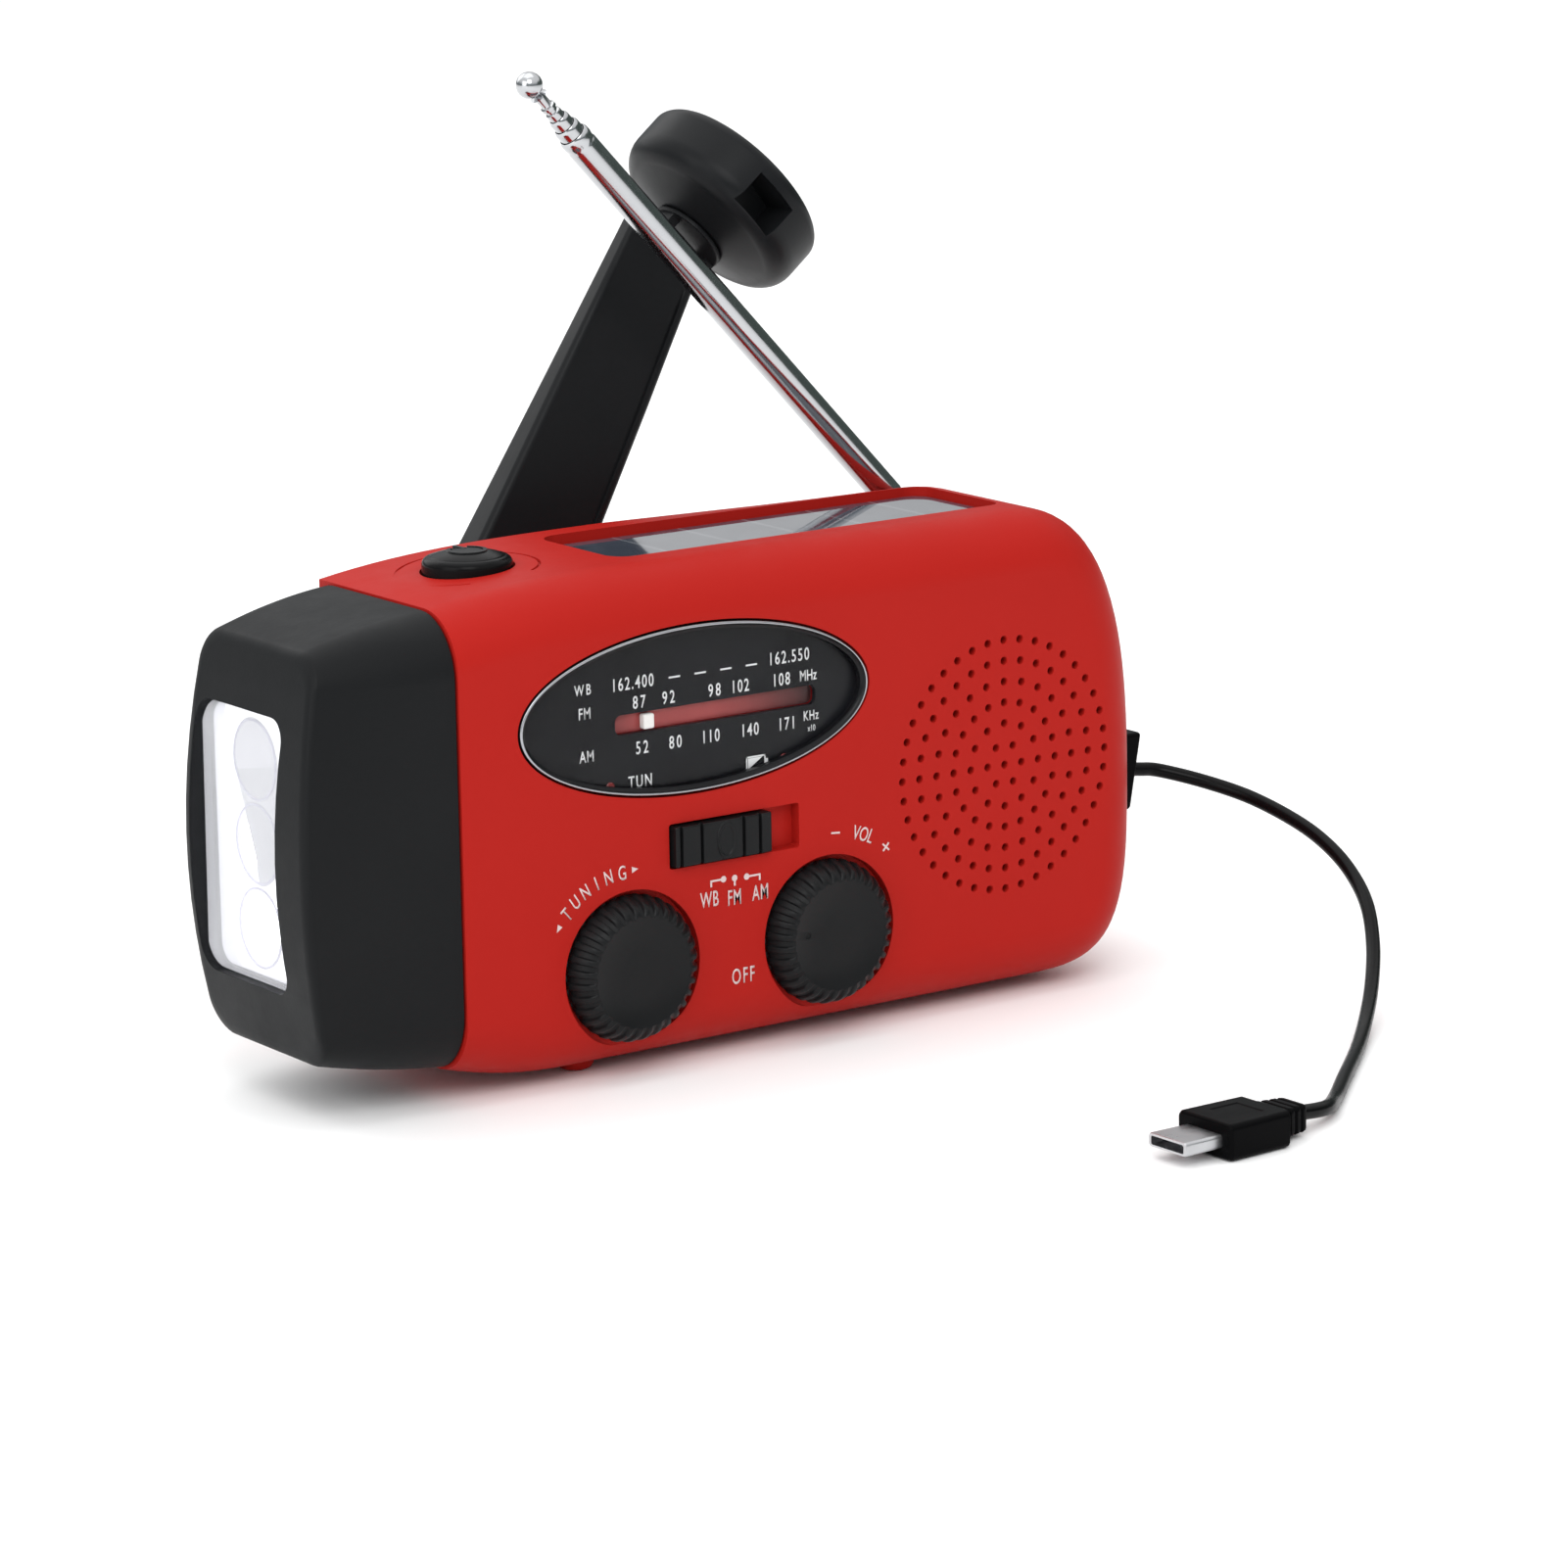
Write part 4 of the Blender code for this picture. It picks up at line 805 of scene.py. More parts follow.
lens_pts = rounded(-9.75, 10.35, 14.95, 48.85, 2.75, 8)


def grow(pts, d, c=(0.3, 31.9)):
    return [(c[0] + (y - c[0]) * (1 - d / 10.05), c[1] + (z - c[1]) * (1 - d / 16.95)) for y, z in pts]


def lens_x(z, back=0.0):
    """The lens is bowed like the end face round it."""
    return HEAD_END + 0.85 + back + 3.6 * ((z - 31.0) / 25.0) ** 2


ll = [[(-62.2, y, z) for y, z in lens_pts], [(lens_x(z, 0.25), y, z) for y, z in lens_pts]]
for d in (0.25, 1.2, 2.8, 4.6, 6.4, 8.0, 9.2):
    ll.append([(lens_x(z), y, z) for y, z in grow(lens_pts, d)])
lens = loft("torch_lens_fine", ll, LENS)
finish_piece(lens, "torch_lens", sharp=40)
LED_Z = (21.3, 31.9, 42.5)
rp = grow(lens_pts, 0.3)
refl = loft("reflector_fine", [[(-61.9, y, z) for y, z in rp], [(-54.4, y, z) for y, z in rp]], SILVER)
for z in LED_Z:
    dish = [(5.15, -62.4), (5.15, -61.9)]
    for i in range(1, 9):
        f = i / 8
        dish.append((2.9 + (5.15 - 2.9) * math.sqrt(1 - f), -61.9 + 5.9 * f))
    dish += [(2.9, -53.4)]
    boolean(refl, turned("c", dish, (0, 0, z), (1, 0, 0), SILVER, 48))
finish_piece(refl, "reflector", bevel=0.15, seg=2)
# painted reflection: a grey-lilac tint for the cup rims, standing in for the outline each cup's edge shows in the
# bright reflector
LILAC = moulded("cup_rim_painted_reflection", (0.20, 0.19, 0.28), 0.45, 0.08, 0.3, 0.05, spec=0.15)
for i, z in enumerate(LED_Z):  # the raised lip round each cup; its grey-lilac colour is painted reflection, the faint outline seen at each cup's rim
    lip = turned("cup_lip_%d" % (i + 1), [(4.82, -61.85), (4.82, -62.06), (4.9, -62.12), (5.02, -62.12), (5.1, -62.06), (5.1, -61.85)], (0, 0, z), (1, 0, 0), LILAC, 64, ring=True)
    finish_piece(lip, body="casing", sharp=50)
for i, z in enumerate(LED_Z):
    prof = [(0.25, -61.45)]
    for j in range(1, 9):
        t = math.pi / 2 * j / 8
        prof.append((2.45 * math.sin(t), -59.4 - 2.05 * math.cos(t)))
    prof += [(2.45, -54.3), (2.5, -54.2), (2.5, -53.5)]
    led = turned("led_%d_fine" % (i + 1), prof, (0, 0, z), (1, 0, 0), LEDM, 32)
    finish_piece(led, "led_%d" % (i + 1), sharp=40)

# ------------------------------------------------------------------ dial
rim = []
RIM = ((26.3, 10.6, -16.7), (26.3, 10.6, -17.75), (26.27, 10.57, -17.97), (26.15, 10.45, -18.05), (25.98, 10.28, -18.05), (25.88, 10.18, -17.95),
       (25.82, 10.12, -17.7), (25.5, 9.8, -17.6), (25.4, 9.7, -17.55), (25.4, 9.7, -16.7))
for a, b, y in RIM:
    rim.append([(x, y, z) for x, z in ellipse(DIAL, a, b, 160)])
rim_o = loft("dial_rim_fine", rim, RIMM, closed_ring=True)
rim_o.data.materials.append(DIALM)
# painted shade: only the crest faces (quad rings 2 and 3) keep the plated finish; the rim's outer wall and inner slope
# take the dark dial material, painting the dark gap shadow round the thin bright crest line
for k, f in enumerate(rim_o.data.polygons):
    f.material_index = 0 if 2 <= k // 160 <= 3 else 1
finish_piece(rim_o, "dial_rim", sharp=60)
plate = prism_y("dial_plate_fine", ellipse(DIAL, 26.2, 10.5, 128), -16.4, -15.6, DIALM)
BAR = (-20.0, 10.5, 42.4, 44.9)
boolean(plate, prism_y("c", rounded(BAR[0], BAR[1], BAR[2], BAR[3], 0.9, 6), -17.5, -15.0, DIALM))
finish_piece(plate, "dial_plate", bevel=0.06, seg=1)
strip = prism_y("scale_strip", rounded(BAR[0] + 0.05, BAR[1] - 0.05, BAR[2] + 0.05, BAR[3] - 0.05, 0.85, 6), -15.44, -15.34, SCALEM)
finish_piece(strip, body="casing")
finish_piece(box("tuning_pointer_fine", -15.9, -14.3, -16.75, -15.55, BAR[2] + 0.3, BAR[3] - 0.3, WHITEP, 0.25), "tuning_pointer")
wl = []
for a, b, y in ((25.1, 9.4, -17.1), (25.1, 9.4, -17.85), (24.8, 9.1, -18.08), (24.0, 8.4, -18.2)):
    wl.append([(x, y, z) for x, z in ellipse(DIAL, a, b, 128)])
finish_piece(loft("dial_window_fine", wl, CLEAR), "dial_window", sharp=50)


def ring_xy(x, z, depth=0.54):
    """From front-plane ring units to mm on the dial plate, which lies a little behind that plane."""
    return (x + 0.71 * depth + 14.35) * 2.75, (z - 0.277 * depth + 11.15) * 2.75


PY = -16.43
marks = []
for s, x, z, h in (("WB", -23.6, 6.69, 1.35), ("FM", -23.52, 5.6, 1.45), ("AM", -23.47, 3.62, 1.45),
                   ("162.400", -20.85, 6.68, 1.6), ("162.550", -12.21, 6.77, 1.6),
                   ("87", -20.56, 5.75, 1.6), ("92", -18.96, 5.75, 1.6), ("98", -16.43, 5.75, 1.6), ("102", -14.96, 5.75, 1.6),
                   ("108", -12.66, 5.75, 1.6), ("MHz", -11.18, 5.75, 1.4),
                   ("52", -20.45, 3.64, 1.6), ("80", -18.63, 3.64, 1.6), ("110", -16.64, 3.64, 1.6), ("140", -14.46, 3.64, 1.6),
                   ("171", -12.43, 3.64, 1.6), ("KHz", -11.05, 3.85, 1.25), ("x10", -11.05, 3.25, 0.8), ("TUN", -20.6, 2.09, 1.55)):
    px, pz = ring_xy(x, z)
    marks.append(text(s, px - 0.35, pz + 0.2, h, PY, 0.70, spacing=1.0 if s in ("MHz", "x10") else 1.12 if s in ("KHz", "FM", "AM") else 1.42 if len(s) == 2 else 1.25))
for i in range(4):
    px, pz = ring_xy(-18.75 + 1.42 * i, 6.72)
    marks.append(dash(px - 0.85, px + 0.85, pz, 0.22, PY))
# battery sign
px, pz = ring_xy(-14.33, 2.11)
for bx0, bx1, bz0, bz1 in ((-1.5, 1.5, 0.75, 0.95), (-1.5, 1.5, -0.95, -0.75), (-1.5, -1.3, -0.95, 0.95), (1.3, 1.5, -0.95, 0.95), (1.5, 1.85, -0.4, 0.4)):
    marks.append(box("t", px + bx0, px + bx1, PY - 0.02, PY, pz + bz0, pz + bz1))
marks.append(flat_shape([(px - 1.2, pz - 0.7), (px + 1.0, pz + 0.7), (px - 1.2, pz + 0.7)], PY))
print_layer(marks, "dial_print_marks", DIALINK)
for nm, x, z in (("tuning_lamp", -22.35, 2.1), ("charge_lamp", -12.75, 2.1)):
    px, pz = ring_xy(x, z)
    lamp = turned(nm, [(0.15, -16.62), (0.4, -16.60), (0.6, -16.52), (0.65, -16.42)], (px, 0, pz), (0, 1, 0), moulded(nm + "_red", (0.20, 0.012, 0.012), 0.2, 0.05), 24)
    finish_piece(lamp, body="casing", sharp=50)

# ------------------------------------------------------------------ lettering on the front
lab = []
for cxy, items in ((TUNE, (("T", -28.79, 21.29), ("U", -27.49, 22.65), ("N", -26.0, 23.75), ("I", -24.3, 24.55), ("N", -22.5, 25.08), ("G", -20.46, 25.31))),
                   (VOL, (("V", 15.53, 25.15), ("O", 16.72, 24.78), ("L", 17.82, 24.35)))):
    for ch, x, z in items:
        t = math.atan2(z - cxy[1], x - cxy[0])
        lab.append(text(ch, x, z, 1.85, wide=0.66, turn=(t - math.pi / 2) * 0.85, bold=0.006))
for x, z, deg in ((-30.03, 19.67, 238.0), (-18.6, 25.5, 2.0)):
    c0 = Vector((x, z))
    d = Vector((math.cos(math.radians(deg)), math.sin(math.radians(deg))))
    nrm = Vector((-d.y, d.x))
    lab.append(flat_shape([tuple(c0 + d * 0.55), tuple(c0 - d * 0.40 + nrm * 0.40), tuple(c0 - d * 0.40 - nrm * 0.40)]))
for s_, x, z in (("WB", -7.4, 19.92), ("FM", -3.55, 19.62), ("AM", 0.38, 19.69)):
    lab.append(text(s_, x, z, 2.0, wide=0.60, spacing=1.08, bold=0.008))
lab.append(text("OFF", -2.4, 9.29, 2.0, wide=0.62, spacing=1.25, bold=0.008))
for x, z, plus in ((12.25, 25.6, False), (20.16, 22.59, True)):
    c0 = Vector((x, z))
    a = math.atan2(z - VOL[1], x - VOL[0]) - math.pi / 2
    for q in ((0.0, math.pi / 2) if plus else (0.0,)):
        d = Vector((math.cos(a + q), math.sin(a + q)))
        nn = Vector((-d.y, d.x))
        pts = [c0 + d * 0.68 + nn * 0.12, c0 - d * 0.68 + nn * 0.12, c0 - d * 0.68 - nn * 0.12, c0 + d * 0.68 - nn * 0.12]
        lab.append(flat_shape([tuple(v) for v in pts], FRONT - 0.03 - (0.005 if q else 0.0)))
# band marks: a hooked line with a dot, a dot with a tick, a dot with a hooked line
for x, end, z in ((-5.2, -7.1, 22.2), (-3.5, None, 22.1), (-1.65, 0.35, 22.0)):
    lab.append(flat_shape([(x + 0.42 * math.cos(a), z + 0.42 * math.sin(a)) for a in (2 * math.pi * j / 16 for j in range(16))]))
    if end is None:
        lab.append(box("t", x - 0.14, x + 0.14, FRONT - 0.055, FRONT - 0.035, z - 1.0, z - 0.1))
    else:
        lab.append(dash(min(x, end), max(x, end), z, 0.26, FRONT - 0.035))
        lab.append(box("t", end - 0.13, end + 0.13, FRONT - 0.06, FRONT - 0.04, z - 0.75, z + 0.13))
print_layer(lab, "front_print_marks", WHITEINK)


# ------------------------------------------------------------------ knobs
def control_knob(name, node, c, dot=False):
    teeth, per = 32, 10
    prof = [(-16.7, 9.3, 0.0), (-16.78, 9.45, 0.12), (-17.0, 9.5, 0.22), (-17.6, 9.42, 0.28), (-18.3, 9.18, 0.32), (-19.0, 8.84, 0.36), (-19.6, 8.42, 0.42),
            (-19.95, 8.08, 0.48), (-20.2, 7.74, 0.50), (-20.4, 7.44, 0.44), (-20.5, 7.30, 0.26), (-20.5, 7.1, 0.0), (-20.40, 6.96, 0.0), (-20.40, 3.0, 0.0)]
    loops = []
    n = teeth * per
    for y, r0, h in prof:
        loop = []
        for i in range(n):
            t = 2 * math.pi * i / n
            ph = (i % per) / per
            w = 0.5 - 0.5 * math.cos(2 * math.pi * ph)
            w = max(0.0, min(1.0, (w - 0.30) / 0.45))
            w = w * w * (3 - 2 * w)
            r = r0 - 0.30 * (h > 0) + h * 1.15 * w if h > 0 else r0
            loop.append((c[0] + r * math.cos(t), y, c[1] + r * math.sin(t)))
        loops.append(loop)
    k = loft(name, loops, KNOBM)
    boolean(k, rod("c", (c[0], -17.0, c[1]), (c[0], -14.5, c[1]), 3.0, KNOBM, 32), "UNION")
    if dot:
        t = math.radians(172)
        boolean(k, turned("c", [(0.45, -21.5), (0.45, -20.3), (0.15, -20.2)], (c[0] + 5.2 * math.cos(t), 0, c[1] + 5.2 * math.sin(t)), (0, 1, 0), KNOBM, 20))
    return finish_piece(k, node, sharp=48, weighted=False)


control_knob("tuning_knob_fine", "tuning_knob", TUNE)
control_knob("volume_knob_fine", "volume_knob", VOL, True)

# ------------------------------------------------------------------ band slider
S0, S1 = -12.9, 1.7
px = [S0]
prof = [(S0, -16.5), (S0, -18.8), (S0 + 0.15, -18.95)]
for g in (-12.1, -9.0, -2.6, -0.1):
    prof += [(g - 0.34, -18.98), (g - 0.25, -18.92), (g - 0.17, -18.45), (g + 0.17, -18.45), (g + 0.25, -18.92), (g + 0.34, -18.98)]
prof += [(S1 - 0.15, -18.95), (S1, -18.8), (S1, -16.5)]
sl = loft("band_slider_fine", [[(x, y if y > -18.0 else y + 0.15, z) for x, y in prof] if e else [(x, y, z) for x, y in prof]
                               for z, e in ((24.95, 1), (25.15, 0), (29.85, 0), (30.05, 1))], KNOBM)
ov = []
mx = -5.35
for f, y in ((1.0, -18.6), (1.0, -18.95), (0.94, -19.1), (0.82, -19.12), (0.72, -18.95), (0.3, -18.85)):
    ov.append([(x, y, z) for x, z in ellipse((mx, 27.5), 1.45 * f, 2.5 * f, 48)])
boolean(sl, loft("c", ov, KNOBM), "UNION")
boolean(sl, box("c", -7.1, -4.1, -17.2, -14.5, 26.7, 28.3, KNOBM), "UNION")
finish_piece(sl, "band_slider", sharp=35)

# ------------------------------------------------------------------ light button
prof = [(7.2, -5.2), (7.2, -4.2), (5.72, -4.2), (5.72, 0.4)]
for i in range(1, 9):
    t = math.pi / 2 * i / 8
    prof.append((4.72 + 1.0 * math.cos(t), 0.4 + 1.0 * math.sin(t)))
prof += [(4.65, 1.46)]
for q in (4.4, 3.8, 2.8, 1.6, 0.4):
    prof.append((q, 1.55 + 0.70 * (1 - (q / 4.4) ** 2)))
btn = turned("light_button_fine", prof, (BUTTON[0], BUTTON[1], BZ), (0, 0, 1), BUTM, 72)
finish_piece(btn, "light_button", bevel=0.05, seg=1)
# raised generic sign: an open ring and a bar, in the black knob plastic
sign = []
for i in range(41):
    t = math.radians(122 + 296 * i / 40)
    sec = []
    for rr_, h in ((2.0, 1.9), (2.6, 1.9), (2.55, 2.3), (2.05, 2.34)):
        sec.append((BUTTON[0] + rr_ * math.cos(t), BUTTON[1] + rr_ * math.sin(t), BZ + h - 0.12))
    sign.append(sec)
sgn_o = merge([loft("t", sign, BUTM), box("t", BUTTON[0] - 0.28, BUTTON[0] + 0.28, BUTTON[1] + 0.4, BUTTON[1] + 3.0, BZ + 1.8, BZ + 2.3, BUTM, 0.1)], "button_sign")
sgn_o.data.materials.clear()
sgn_o.data.materials.append(KNOBM)
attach(sgn_o, "light")

# ------------------------------------------------------------------ solar panel
panel = box("solar_panel_fine", SOLAR[0] - 1.6, SOLAR[1] + 1.0, SOLAR[2] - 1.6, SOLAR[3], 57.6, 59.6, SOLARM, 0.2, 2)
face = rounded(SOLAR[0] + 0.3, SOLAR[1] - 0.3, SOLAR[2] + 0.3, SOLAR[3] - 0.3, 2.7, 10)
inner_face = rounded(SOLAR[0] + 0.5, SOLAR[1] - 0.5, SOLAR[2] + 0.5, SOLAR[3] - 0.5, 2.5, 10)
boolean(panel, loft("c", [[(x, y, 59.0) for x, y in face], [(x, y, PANEL_Z - 0.2) for x, y in face], [(x, y, PANEL_Z) for x, y in inner_face]], SOLARM), "UNION")
finish_piece(panel, "solar_panel", sharp=30)

# ------------------------------------------------------------------ antenna
AD = Vector((-math.cos(ANT_ANGLE), 0.0, math.sin(ANT_ANGLE)))
AF = (AD, Vector((0, 1, 0)), AD.cross(Vector((0, 1, 0))))
prof = []
for i in range(7):
    t = math.pi / 2 * i / 6
    prof.append((2.3 + 0.6 * math.sin(t), 15.5 - 0.6 * math.cos(t)))
for i in range(7):
    t = math.pi / 2 * i / 6
    prof.append((2.3 + 0.6 * math.cos(t), 18.1 + 0.6 * math.sin(t)))
base = turned("antenna_hinge_fine", prof, (ANT.x, 0, ANT.z), (0, 1, 0), CHROME, 48)
boolean(base, turned("c", [(1.55, 1.0), (1.55, 8.6)], ANT, AD, CHROME, 32, fr=AF), "UNION")
boolean(base, turned("c", [(1.9, 1.5), (2.05, 3.9), (2.1, 4.1), (2.1, 4.3), (1.95, 4.45)], ANT, AD, CHROME, 32, fr=AF), "UNION")
boolean(base, rod("c", (ANT.x, 13.0, ANT.z), (ANT.x, 20.0, ANT.z), 1.45, CHROME, 32))
finish_piece(base, "antenna_hinge", sharp=40)
TUBES = ((2.1, 1.85, 4.7, 79.0), (1.75, 1.5, 9.0, 80.6), (1.4, 1.15, 10.0, 82.2))
for i, (ro, ri, t0, t1) in enumerate(TUBES):
    ro = ro - 0.01
    crimp = [(ro, t1 - 2.2), (ro - 0.08, t1 - 1.9), (ro - 0.08, t1 - 1.5), (ro, t1 - 1.2)] if i == 0 else []
    foot = [(ro, t0 + 1.6), (ro - 0.1, t0 + 1.8), (ro - 0.1, t0 + 2.3), (ro, t0 + 2.5)] if i == 0 else []
    prof = [(ri, t0), (ro - 0.08, t0), (ro, t0 + 0.15)] + foot + crimp + [(ro, t1 - 0.55), (ro - 0.04, t1 - 0.3), (ro - 0.14, t1 - 0.08), (ro - 0.2, t1), (ri, t1)]
    finish_piece(turned("antenna_tube_%d_fine" % (i + 1), prof, ANT, AD, CHROME, 40, ring=True, fr=AF), "antenna_tube_%d" % (i + 1), sharp=40)
prof = [(0.9, 11.0), (1.05, 11.2), (1.05, 82.9), (1.0, 83.2), (0.78, 83.35), (0.78, 83.7), (1.0, 83.85), (1.0, 84.3), (0.78, 84.45), (0.72, 84.7), (0.72, 85.9), (0.9, 86.05), (1.2, 86.15)]
for i in range(1, 12):
    t = math.pi * i / 12
    prof.append((max(0.2, 1.73 * math.sin(t) + 0.0), 88.15 - 1.75 * math.cos(t)))
prof = [p for p in prof if p[1] <= 89.9]
finish_piece(turned("antenna_tip_fine", prof, ANT, AD, CHROME, 40, fr=AF), "antenna_tip", sharp=40)

# ------------------------------------------------------------------ crank
U = Vector((ARM_END.x - HUB.x, 0, ARM_END.z - HUB.z))
ARM_L = U.length
U.normalize()
W = Vector((-U.z, 0, U.x))
K = Vector((math.cos(KNOB_TILT), 0, math.sin(KNOB_TILT)))
H = Vector((K.z, 0, -K.x))


def arm_section(s, rec):
    """Arm section with rounded corners and, between its ends, a fine line sunk beside one long edge of the near face.
    """
    f = s / ARM_L
    wd = (ARM_W0 + (ARM_W1 - ARM_W0) * f) / 2
    th = (ARM_T0 + (ARM_T1 - ARM_T0) * f) / 2
    yc = 22.6 + (ARM_TIP.y - 22.6) * f
    g = max(0.0, (f - 0.75) / 0.25)
    side = (W * (1 - g) - H * g).normalized()
    wd = wd / side.dot(W)
    c = Vector((HUB.x, yc, HUB.z)) + U * s
    b = min(1.0, th * 0.5)
    quarter = []
    for i in range(6):
        t = math.pi / 2 * i / 5
        quarter.append((b * (1 - math.cos(t)), b * (1 - math.sin(t))))
    prof = [(-wd + q0, -th + q1) for q0, q1 in quarter]
    ins = 1.5
    prof += [(-wd + ins, -th), (-wd + ins + 0.12, -th + rec), (-wd + ins + 0.45, -th + rec), (-wd + ins + 0.57, -th)]
    prof += [(wd - q0, -th + q1) for q0, q1 in reversed(quarter)]
    prof += [(wd - q0, th - q1) for q0, q1 in quarter]
    prof += [(-wd + q0, th - q1) for q0, q1 in reversed(quarter)]
    return [c + side * a + Vector((0, d, 0)) for a, d in prof]


stations = [(0.0, 0.0), (8.0, 0.0), (8.6, 0.3)] + [(ARM_L * f / 100.0, 0.3) for f in range(15, 100, 5)] + [(ARM_L - 1.4, 0.3), (ARM_L - 0.8, 0.0), (ARM_L, 0.0)]
arm = loft("crank_arm_fine", [arm_section(s, r_) for s, r_ in stations], CRANKM)
hubp = [(9.0, 19.3), (9.5, 19.35), (9.8, 19.65), (9.8, 25.3), (9.65, 25.7), (9.2, 25.9), (6.4, 25.9), (6.2, 25.55), (3.4, 25.55), (3.2, 25.9)]
boolean(arm, turned("c", hubp, (HUB.x, 0, HUB.z), (0, 1, 0), CRANKM, 72), "UNION")
tong = []
for i in range(17):
    t = -math.pi / 2 + math.pi * i / 16
    tong.append(ARM_TIP + K * 1.5 * math.cos(t) + Vector((0, 1, 0)) * 1.5 * math.sin(t))
tong += [ARM_TIP - K * 4.6 + Vector((0, 1.0, 0)), ARM_TIP - K * 4.6 + Vector((0, -1.5, 0))]
boolean(arm, loft("c", [[p - H * 3.1 for p in tong], [p + H * 3.1 for p in tong]], CRANKM), "UNION")
boolean(arm, rod("c", ARM_TIP - H * 8, ARM_TIP + H * 8, 0.95, CRANKM, 24))
boolean(arm, rod("c", (HUB.x, 10, HUB.z), (HUB.x, 24.1, HUB.z), 2.75, CRANKM, 32))
finish_piece(arm, "crank_arm", bevel=0.12, seg=2, angle=40)

KF = (K, Vector((0, -1, 0)), K.cross(Vector((0, -1, 0))))
yoke = turned("knob_yoke_fine", [(5.25, 2.2), (5.4, 2.3), (5.4, 2.75), (5.25, 2.9), (3.0, 2.9), (3.0, 12.0)], ARM_TIP, K, CRANKM, 64, fr=KF)
for sgn in (-1, 1):
    lug = []
    for i in range(17):
        t = math.pi / 2 + math.pi * i / 16
        lug.append(ARM_TIP + K * 1.9 * math.cos(t) + Vector((0, 1, 0)) * 1.9 * math.sin(t))
    lug += [ARM_TIP + K * 2.5 + Vector((0, -1.9, 0)), ARM_TIP + K * 2.5 + Vector((0, 1.9, 0))]
    boolean(yoke, loft("c", [[p + H * sgn * 3.4 for p in lug], [p + H * sgn * 4.9 for p in lug]], CRANKM), "UNION")
boolean(yoke, rod("c", ARM_TIP - H * 9, ARM_TIP + H * 9, 0.95, CRANKM, 24))
finish_piece(yoke, "knob_yoke", bevel=0.12, seg=2, angle=40)

R = 13.57
prof = [(3.15, 3.1), (5.2, 3.1), (5.6, 3.2), (6.1, 3.4), (10.6, 4.9)]
for i in range(1, 9):                          # rounded lower shoulder
    t = math.pi / 2 * i / 8
    prof.append((10.6 + (R - 10.6) * math.sin(t), 8.2 - 3.3 * math.cos(t)))
prof += [(R, 12.1)]
for i in range(1, 9):                          # rounded upper shoulder, then a gently domed top
    t = math.pi / 2 * i / 8
    prof.append((R - 2.0 * (1 - math.cos(t)), 12.1 + 1.75 * math.sin(t)))
for q in (10.3, 8.8, 7.0, 5.0, 3.0, 1.6):
    prof.append((q, 13.85 + 1.65 * (1 - (q / 11.57) ** 2)))
prof += [(0.9, 15.49), (0.9, 12.4), (3.15, 12.4)]
knob = turned("crank_knob_fine", prof, ARM_TIP, K, CRANKM, 128, ring=True, fr=KF)
cz0 = ARM_TIP + K * 8.6 - H * 1.75
soc = []
for y in (-14.0, -7.6):
    soc.append([cz0 + Vector((0, y, 0)) + K * a * 2.5 + H * b * 3.4 for a, b in ((-1, -1), (1, -1), (1, 1), (-1, 1))])
boolean(knob, loft("c", soc, CRANKM))
finish_piece(knob, "crank_knob", bevel=0.15, seg=2, angle=40)

# ------------------------------------------------------------------ plug, lead, connector
bm = bmesh.new()
bmesh.ops.create_cube(bm, size=1.0)
for v in bm.verts:
    low = v.co.z < 0
    x = 64.0 if v.co.x < 0 else (68.6 if low else 70.5)
    v.co = W3((x, USB[0] + (3.6 if v.co.y > 0 else -3.6), USB[1] + (-5.2 if low else 5.2)))
bmesh.ops.bevel(bm, geom=bm.edges[:], offset=0.55 * MM, segments=4, profile=0.5, affect="EDGES", clamp_overlap=True)
plug = make("usb_plug_fine", bm, MOULD)
finish_piece(plug, "usb_plug", sharp=40)
shell = box("usb_plug_tongue", 55.6, 64.8, USB[0] - 1.55, USB[0] + 1.55, USB[1] - 3.55, USB[1] + 3.55, STEEL, 0.3, 2)
finish_piece(shell, body="casing")

CORD_R, FLOOR = 0.95, -FOOT_H
ROUTE = [(69.75, -4.1, 23.3), (72.7, -4.3, 23.0), (75.71, -5.0, 22.51), (80.15, -9.6, 21.05), (83.48, -15.5, 19.31), (84.98, -23.5, 17.01),
         (84.94, -30.0, 14.71), (83.98, -35.5, 12.14), (81.63, -41.0, 9.43), (77.83, -46.5, 5.96), (72.4, -52.5, 2.79), (65.97, -58.8, 0.61),
         (58.33, -66.04, -0.4), (48.05, -75.45, -0.4), (41.0, -81.9, -0.38), (35.8, -86.2, 0.3), (30.11, -87.66, 0.95)]


def smooth(points, per=5):
    p = [Vector(q) for q in points]
    p = [p[0] * 2 - p[1]] + p + [p[-1] * 2 - p[-2]]
    out = []
    for i in range(1, len(p) - 2):
        a, b, c, d = p[i - 1], p[i], p[i + 1], p[i + 2]
        for j in range(per):
            t = j / per
            out.append(0.5 * ((2 * b) + (c - a) * t + (2 * a - 5 * b + 4 * c - d) * t * t + (3 * b - a - 3 * c + d) * t ** 3))
    out.append(p[-2])
    return out


path = smooth(ROUTE, 6)
cu = bpy.data.curves.new("charging_lead", "CURVE")
cu.dimensions = "3D"
cu.bevel_depth = CORD_R * MM
cu.bevel_resolution = 8
cu.use_fill_caps = True
sp = cu.splines.new("POLY")
sp.points.add(len(path) - 1)
for i, q in enumerate(path):
    sp.points[i].co = (*W3(q), 1.0)
sp.use_smooth = True
cu.materials.append(PVC)
cable = bpy.data.objects.new("charging_lead", cu)
bpy.context.scene.collection.objects.link(cable)
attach(cable, "casing")
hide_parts("usb_cable")

E = Vector(ROUTE[-1])
CD = Vector((-0.998, -0.04, 0.0)).normalized()
CN = Vector((-CD.y, CD.x, 0))


def conn(t, wd, ht, ins=0.35):
    c = Vector((E.x, E.y, 0.95)) + CD * t
    r = min(wd, ht) * ins
    return [c + CN * a + Vector((0, 0, b)) for a, b in rounded(-wd, wd, -ht, ht, r, 6)]


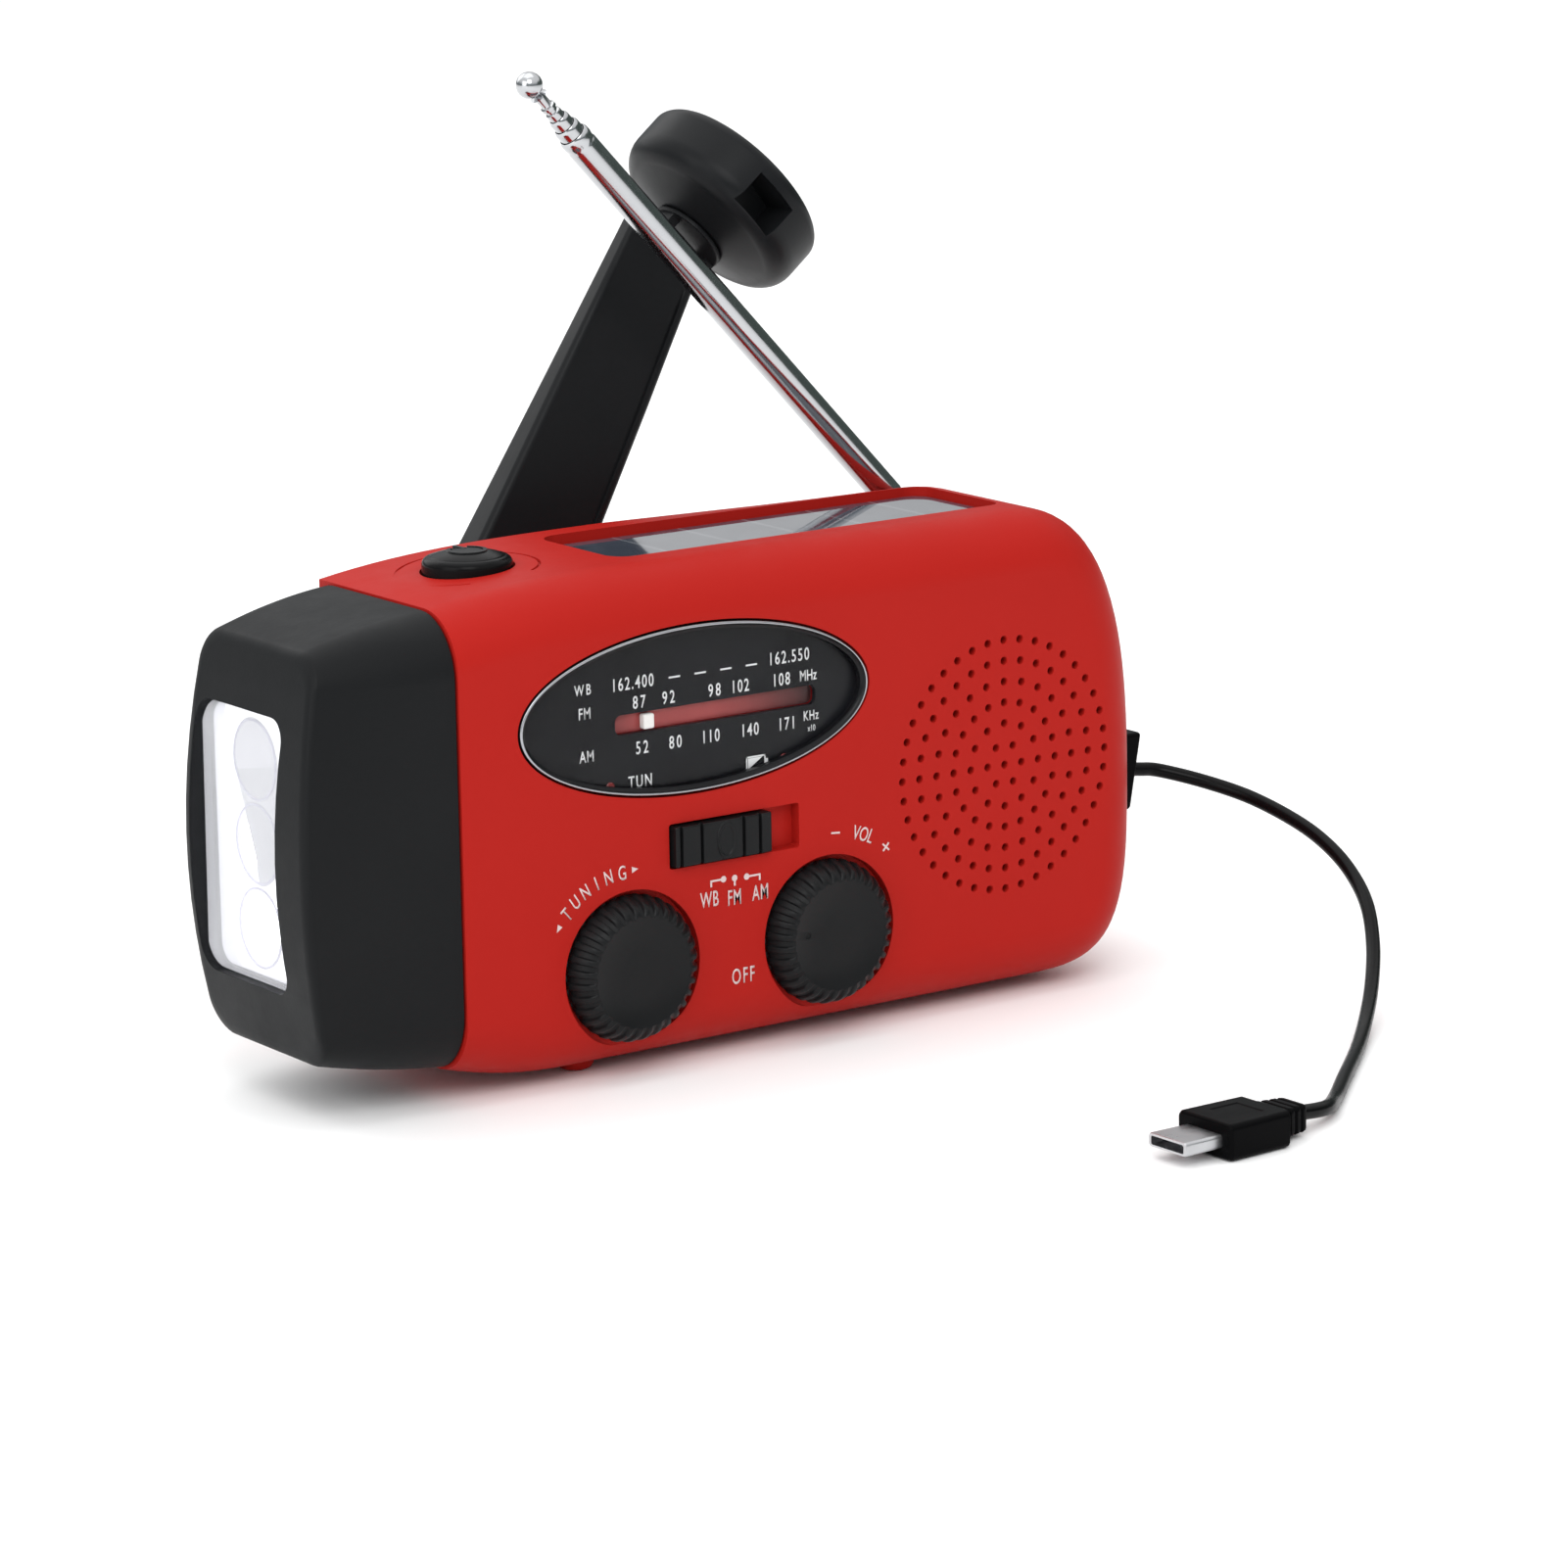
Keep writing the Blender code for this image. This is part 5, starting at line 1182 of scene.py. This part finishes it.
cl = [conn(0.5, 2.0, 1.5), conn(0.6, 2.3, 1.7)]
for k in range(3):                                # soft ribs of the strain relief
    t = 1.2 + 1.15 * k
    cl += [conn(t, 2.45 + 0.2 * k, 1.78), conn(t + 0.08, 2.25 + 0.2 * k, 1.6), conn(t + 0.45, 2.27 + 0.2 * k, 1.6), conn(t + 0.53, 2.5 + 0.2 * k, 1.8)]
cl += [conn(4.7, 3.1, 1.9), conn(4.9, 3.9, 1.95), conn(5.05, 4.3, 2.1), conn(5.4, 4.65, 2.28), conn(14.5, 4.88, 2.28), conn(14.8, 4.75, 2.15), conn(15.0, 4.4, 1.9)]
body = loft("phone_connector_fine", cl, MOULD)
boolean(body, loft("c", [[Vector((E.x, E.y, 0.95)) + CD * t + CN * a + Vector((0, 0, 2.16 + dz)) for t, a in ((7.6, -2.4), (12.0, -2.4), (12.0, 2.4), (7.6, 2.4))] for dz in (0.0, 1.0)], MOULD))
conn_piece = finish_piece(body, "phone_connector", bevel=0.08, seg=1, angle=50)
tip = loft("phone_connector_shell", [conn(14.9, 3.3, 0.85, 0.5), conn(20.6, 3.38, 0.88, 0.5), conn(20.8, 3.3, 0.8, 0.5)], STEEL)
boolean(tip, loft("c", [conn(17.0, 2.9, 0.55, 0.5), conn(21.5, 2.9, 0.55, 0.5)], STEEL))
finish_piece(tip, body="casing", sharp=40)

# ------------------------------------------------------------------ finishes for the CAD nodes that stay
MATS = {"tuning_capacitor": WHITEC, "volume_pot": STEEL, "band_switch": STEEL, "button_switch": DARK_PLASTIC_AND_SHADE, "crank_shaft": STEEL, "crank_bushing": BRASS,
        "fold_pin": STEEL, "crank_gear": ACETAL, "idler_gear": ACETAL, "dynamo_rotor": ACETAL, "idler_shaft": STEEL, "rotor_shaft": STEEL,
        "dynamo_stator": COPPER, "gearbox_plate": STEEL, "speaker_frame": STEEL, "speaker_cone": PAPERM, "speaker_magnet": FERR, "circuit_board": BOARD,
        "battery": CELLM, "ferrite_rod": FERR, "antenna_coil": COPPER, "usb_socket": DARK_PLASTIC_AND_SHADE, "led_board": BOARD}
for n, mt in MATS.items():
    o = frame["nodes"][n]
    if not o.material_slots:
        o.data.materials.append(mt)
    for s in o.material_slots:
        s.material = mt

# ------------------------------------------------------------------ floor and light
bm = bmesh.new()
bmesh.ops.create_grid(bm, x_segments=2, y_segments=2, size=6.0)
fm, nt, p = _nodes("pale_floor")
co = _coords(nt)
nt.links.new(_mix(nt, (0.96, 0.96, 0.96), (0.98, 0.98, 0.98), _noise(nt, co, 3.0, 2.0)), p.inputs["Base Color"])
p.inputs["Roughness"].default_value = 0.85
p.inputs["Specular IOR Level"].default_value = 0.1
fme = bpy.data.meshes.new("floor")
bm.to_mesh(fme)
bm.free()
fme.materials.append(fm)
floor = bpy.data.objects.new("floor", fme)
floor.location = (0, 0, -0.00002)
bpy.context.scene.collection.objects.link(floor)
floor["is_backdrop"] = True


def area(name, loc, target, size, power, col=(1, 1, 1), size_y=None):
    li = bpy.data.lights.new(name, "AREA")
    li.shape = "RECTANGLE"
    li.size = size
    li.size_y = size_y or size
    li.energy = power
    li.color = col
    o = bpy.data.objects.new(name, li)
    bpy.context.scene.collection.objects.link(o)
    o.location = loc
    o.rotation_mode = "QUATERNION"
    o.rotation_quaternion = (Vector(target) - Vector(loc)).to_track_quat("-Z", "Y")
    return o


area("key", (-0.55, -0.95, 0.95), (0, 0, 0.04), 0.7, 5.5)
area("fill", (-1.1, -0.25, 0.45), (0, 0, 0.04), 0.8, 3.5)
area("top", (0.0, 0.2, 1.2), (0, 0, 0.0), 1.1, 3.2)
area("back", (-0.2, 1.1, 0.7), (0, 0, 0.05), 0.9, 2.8)
world = bpy.data.worlds.new("studio")
world.use_nodes = True
wn = world.node_tree
bg = wn.nodes["Background"]
tc = wn.nodes.new("ShaderNodeTexCoord")
sp = wn.nodes.new("ShaderNodeSeparateXYZ")
wn.links.new(tc.outputs["Generated"], sp.inputs[0])
rmp = wn.nodes.new("ShaderNodeValToRGB")
stops = ((0.0, (0.16, 0.18, 0.18)), (0.22, (0.42, 0.45, 0.47)), (0.40, (1.0, 1.0, 1.0)), (1.0, (1.25, 1.25, 1.25)))
while len(rmp.color_ramp.elements) < len(stops):
    rmp.color_ramp.elements.new(0.5)
for e, (pos, col) in zip(rmp.color_ramp.elements, stops):
    e.position = pos
    e.color = (*col, 1.0)
wn.links.new(sp.outputs["Z"], rmp.inputs["Fac"])
# a grey-green card low on the right
card = _math(wn, "MULTIPLY", _range(wn, sp.outputs["X"], 0.0, 1.0, 0.55, 0.75), _range(wn, sp.outputs["Z"], 1.0, 0.0, 0.30, 0.45))
wn.links.new(_mix(wn, rmp.outputs["Color"], (0.10, 0.125, 0.115), card), bg.inputs["Color"])
bg.inputs["Strength"].default_value = 0.95
sc = bpy.context.scene
sc.world = world
sc.view_settings.view_transform = "Standard"
sc.view_settings.look = "None"
sc.view_settings.exposure = 0.0

low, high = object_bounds()
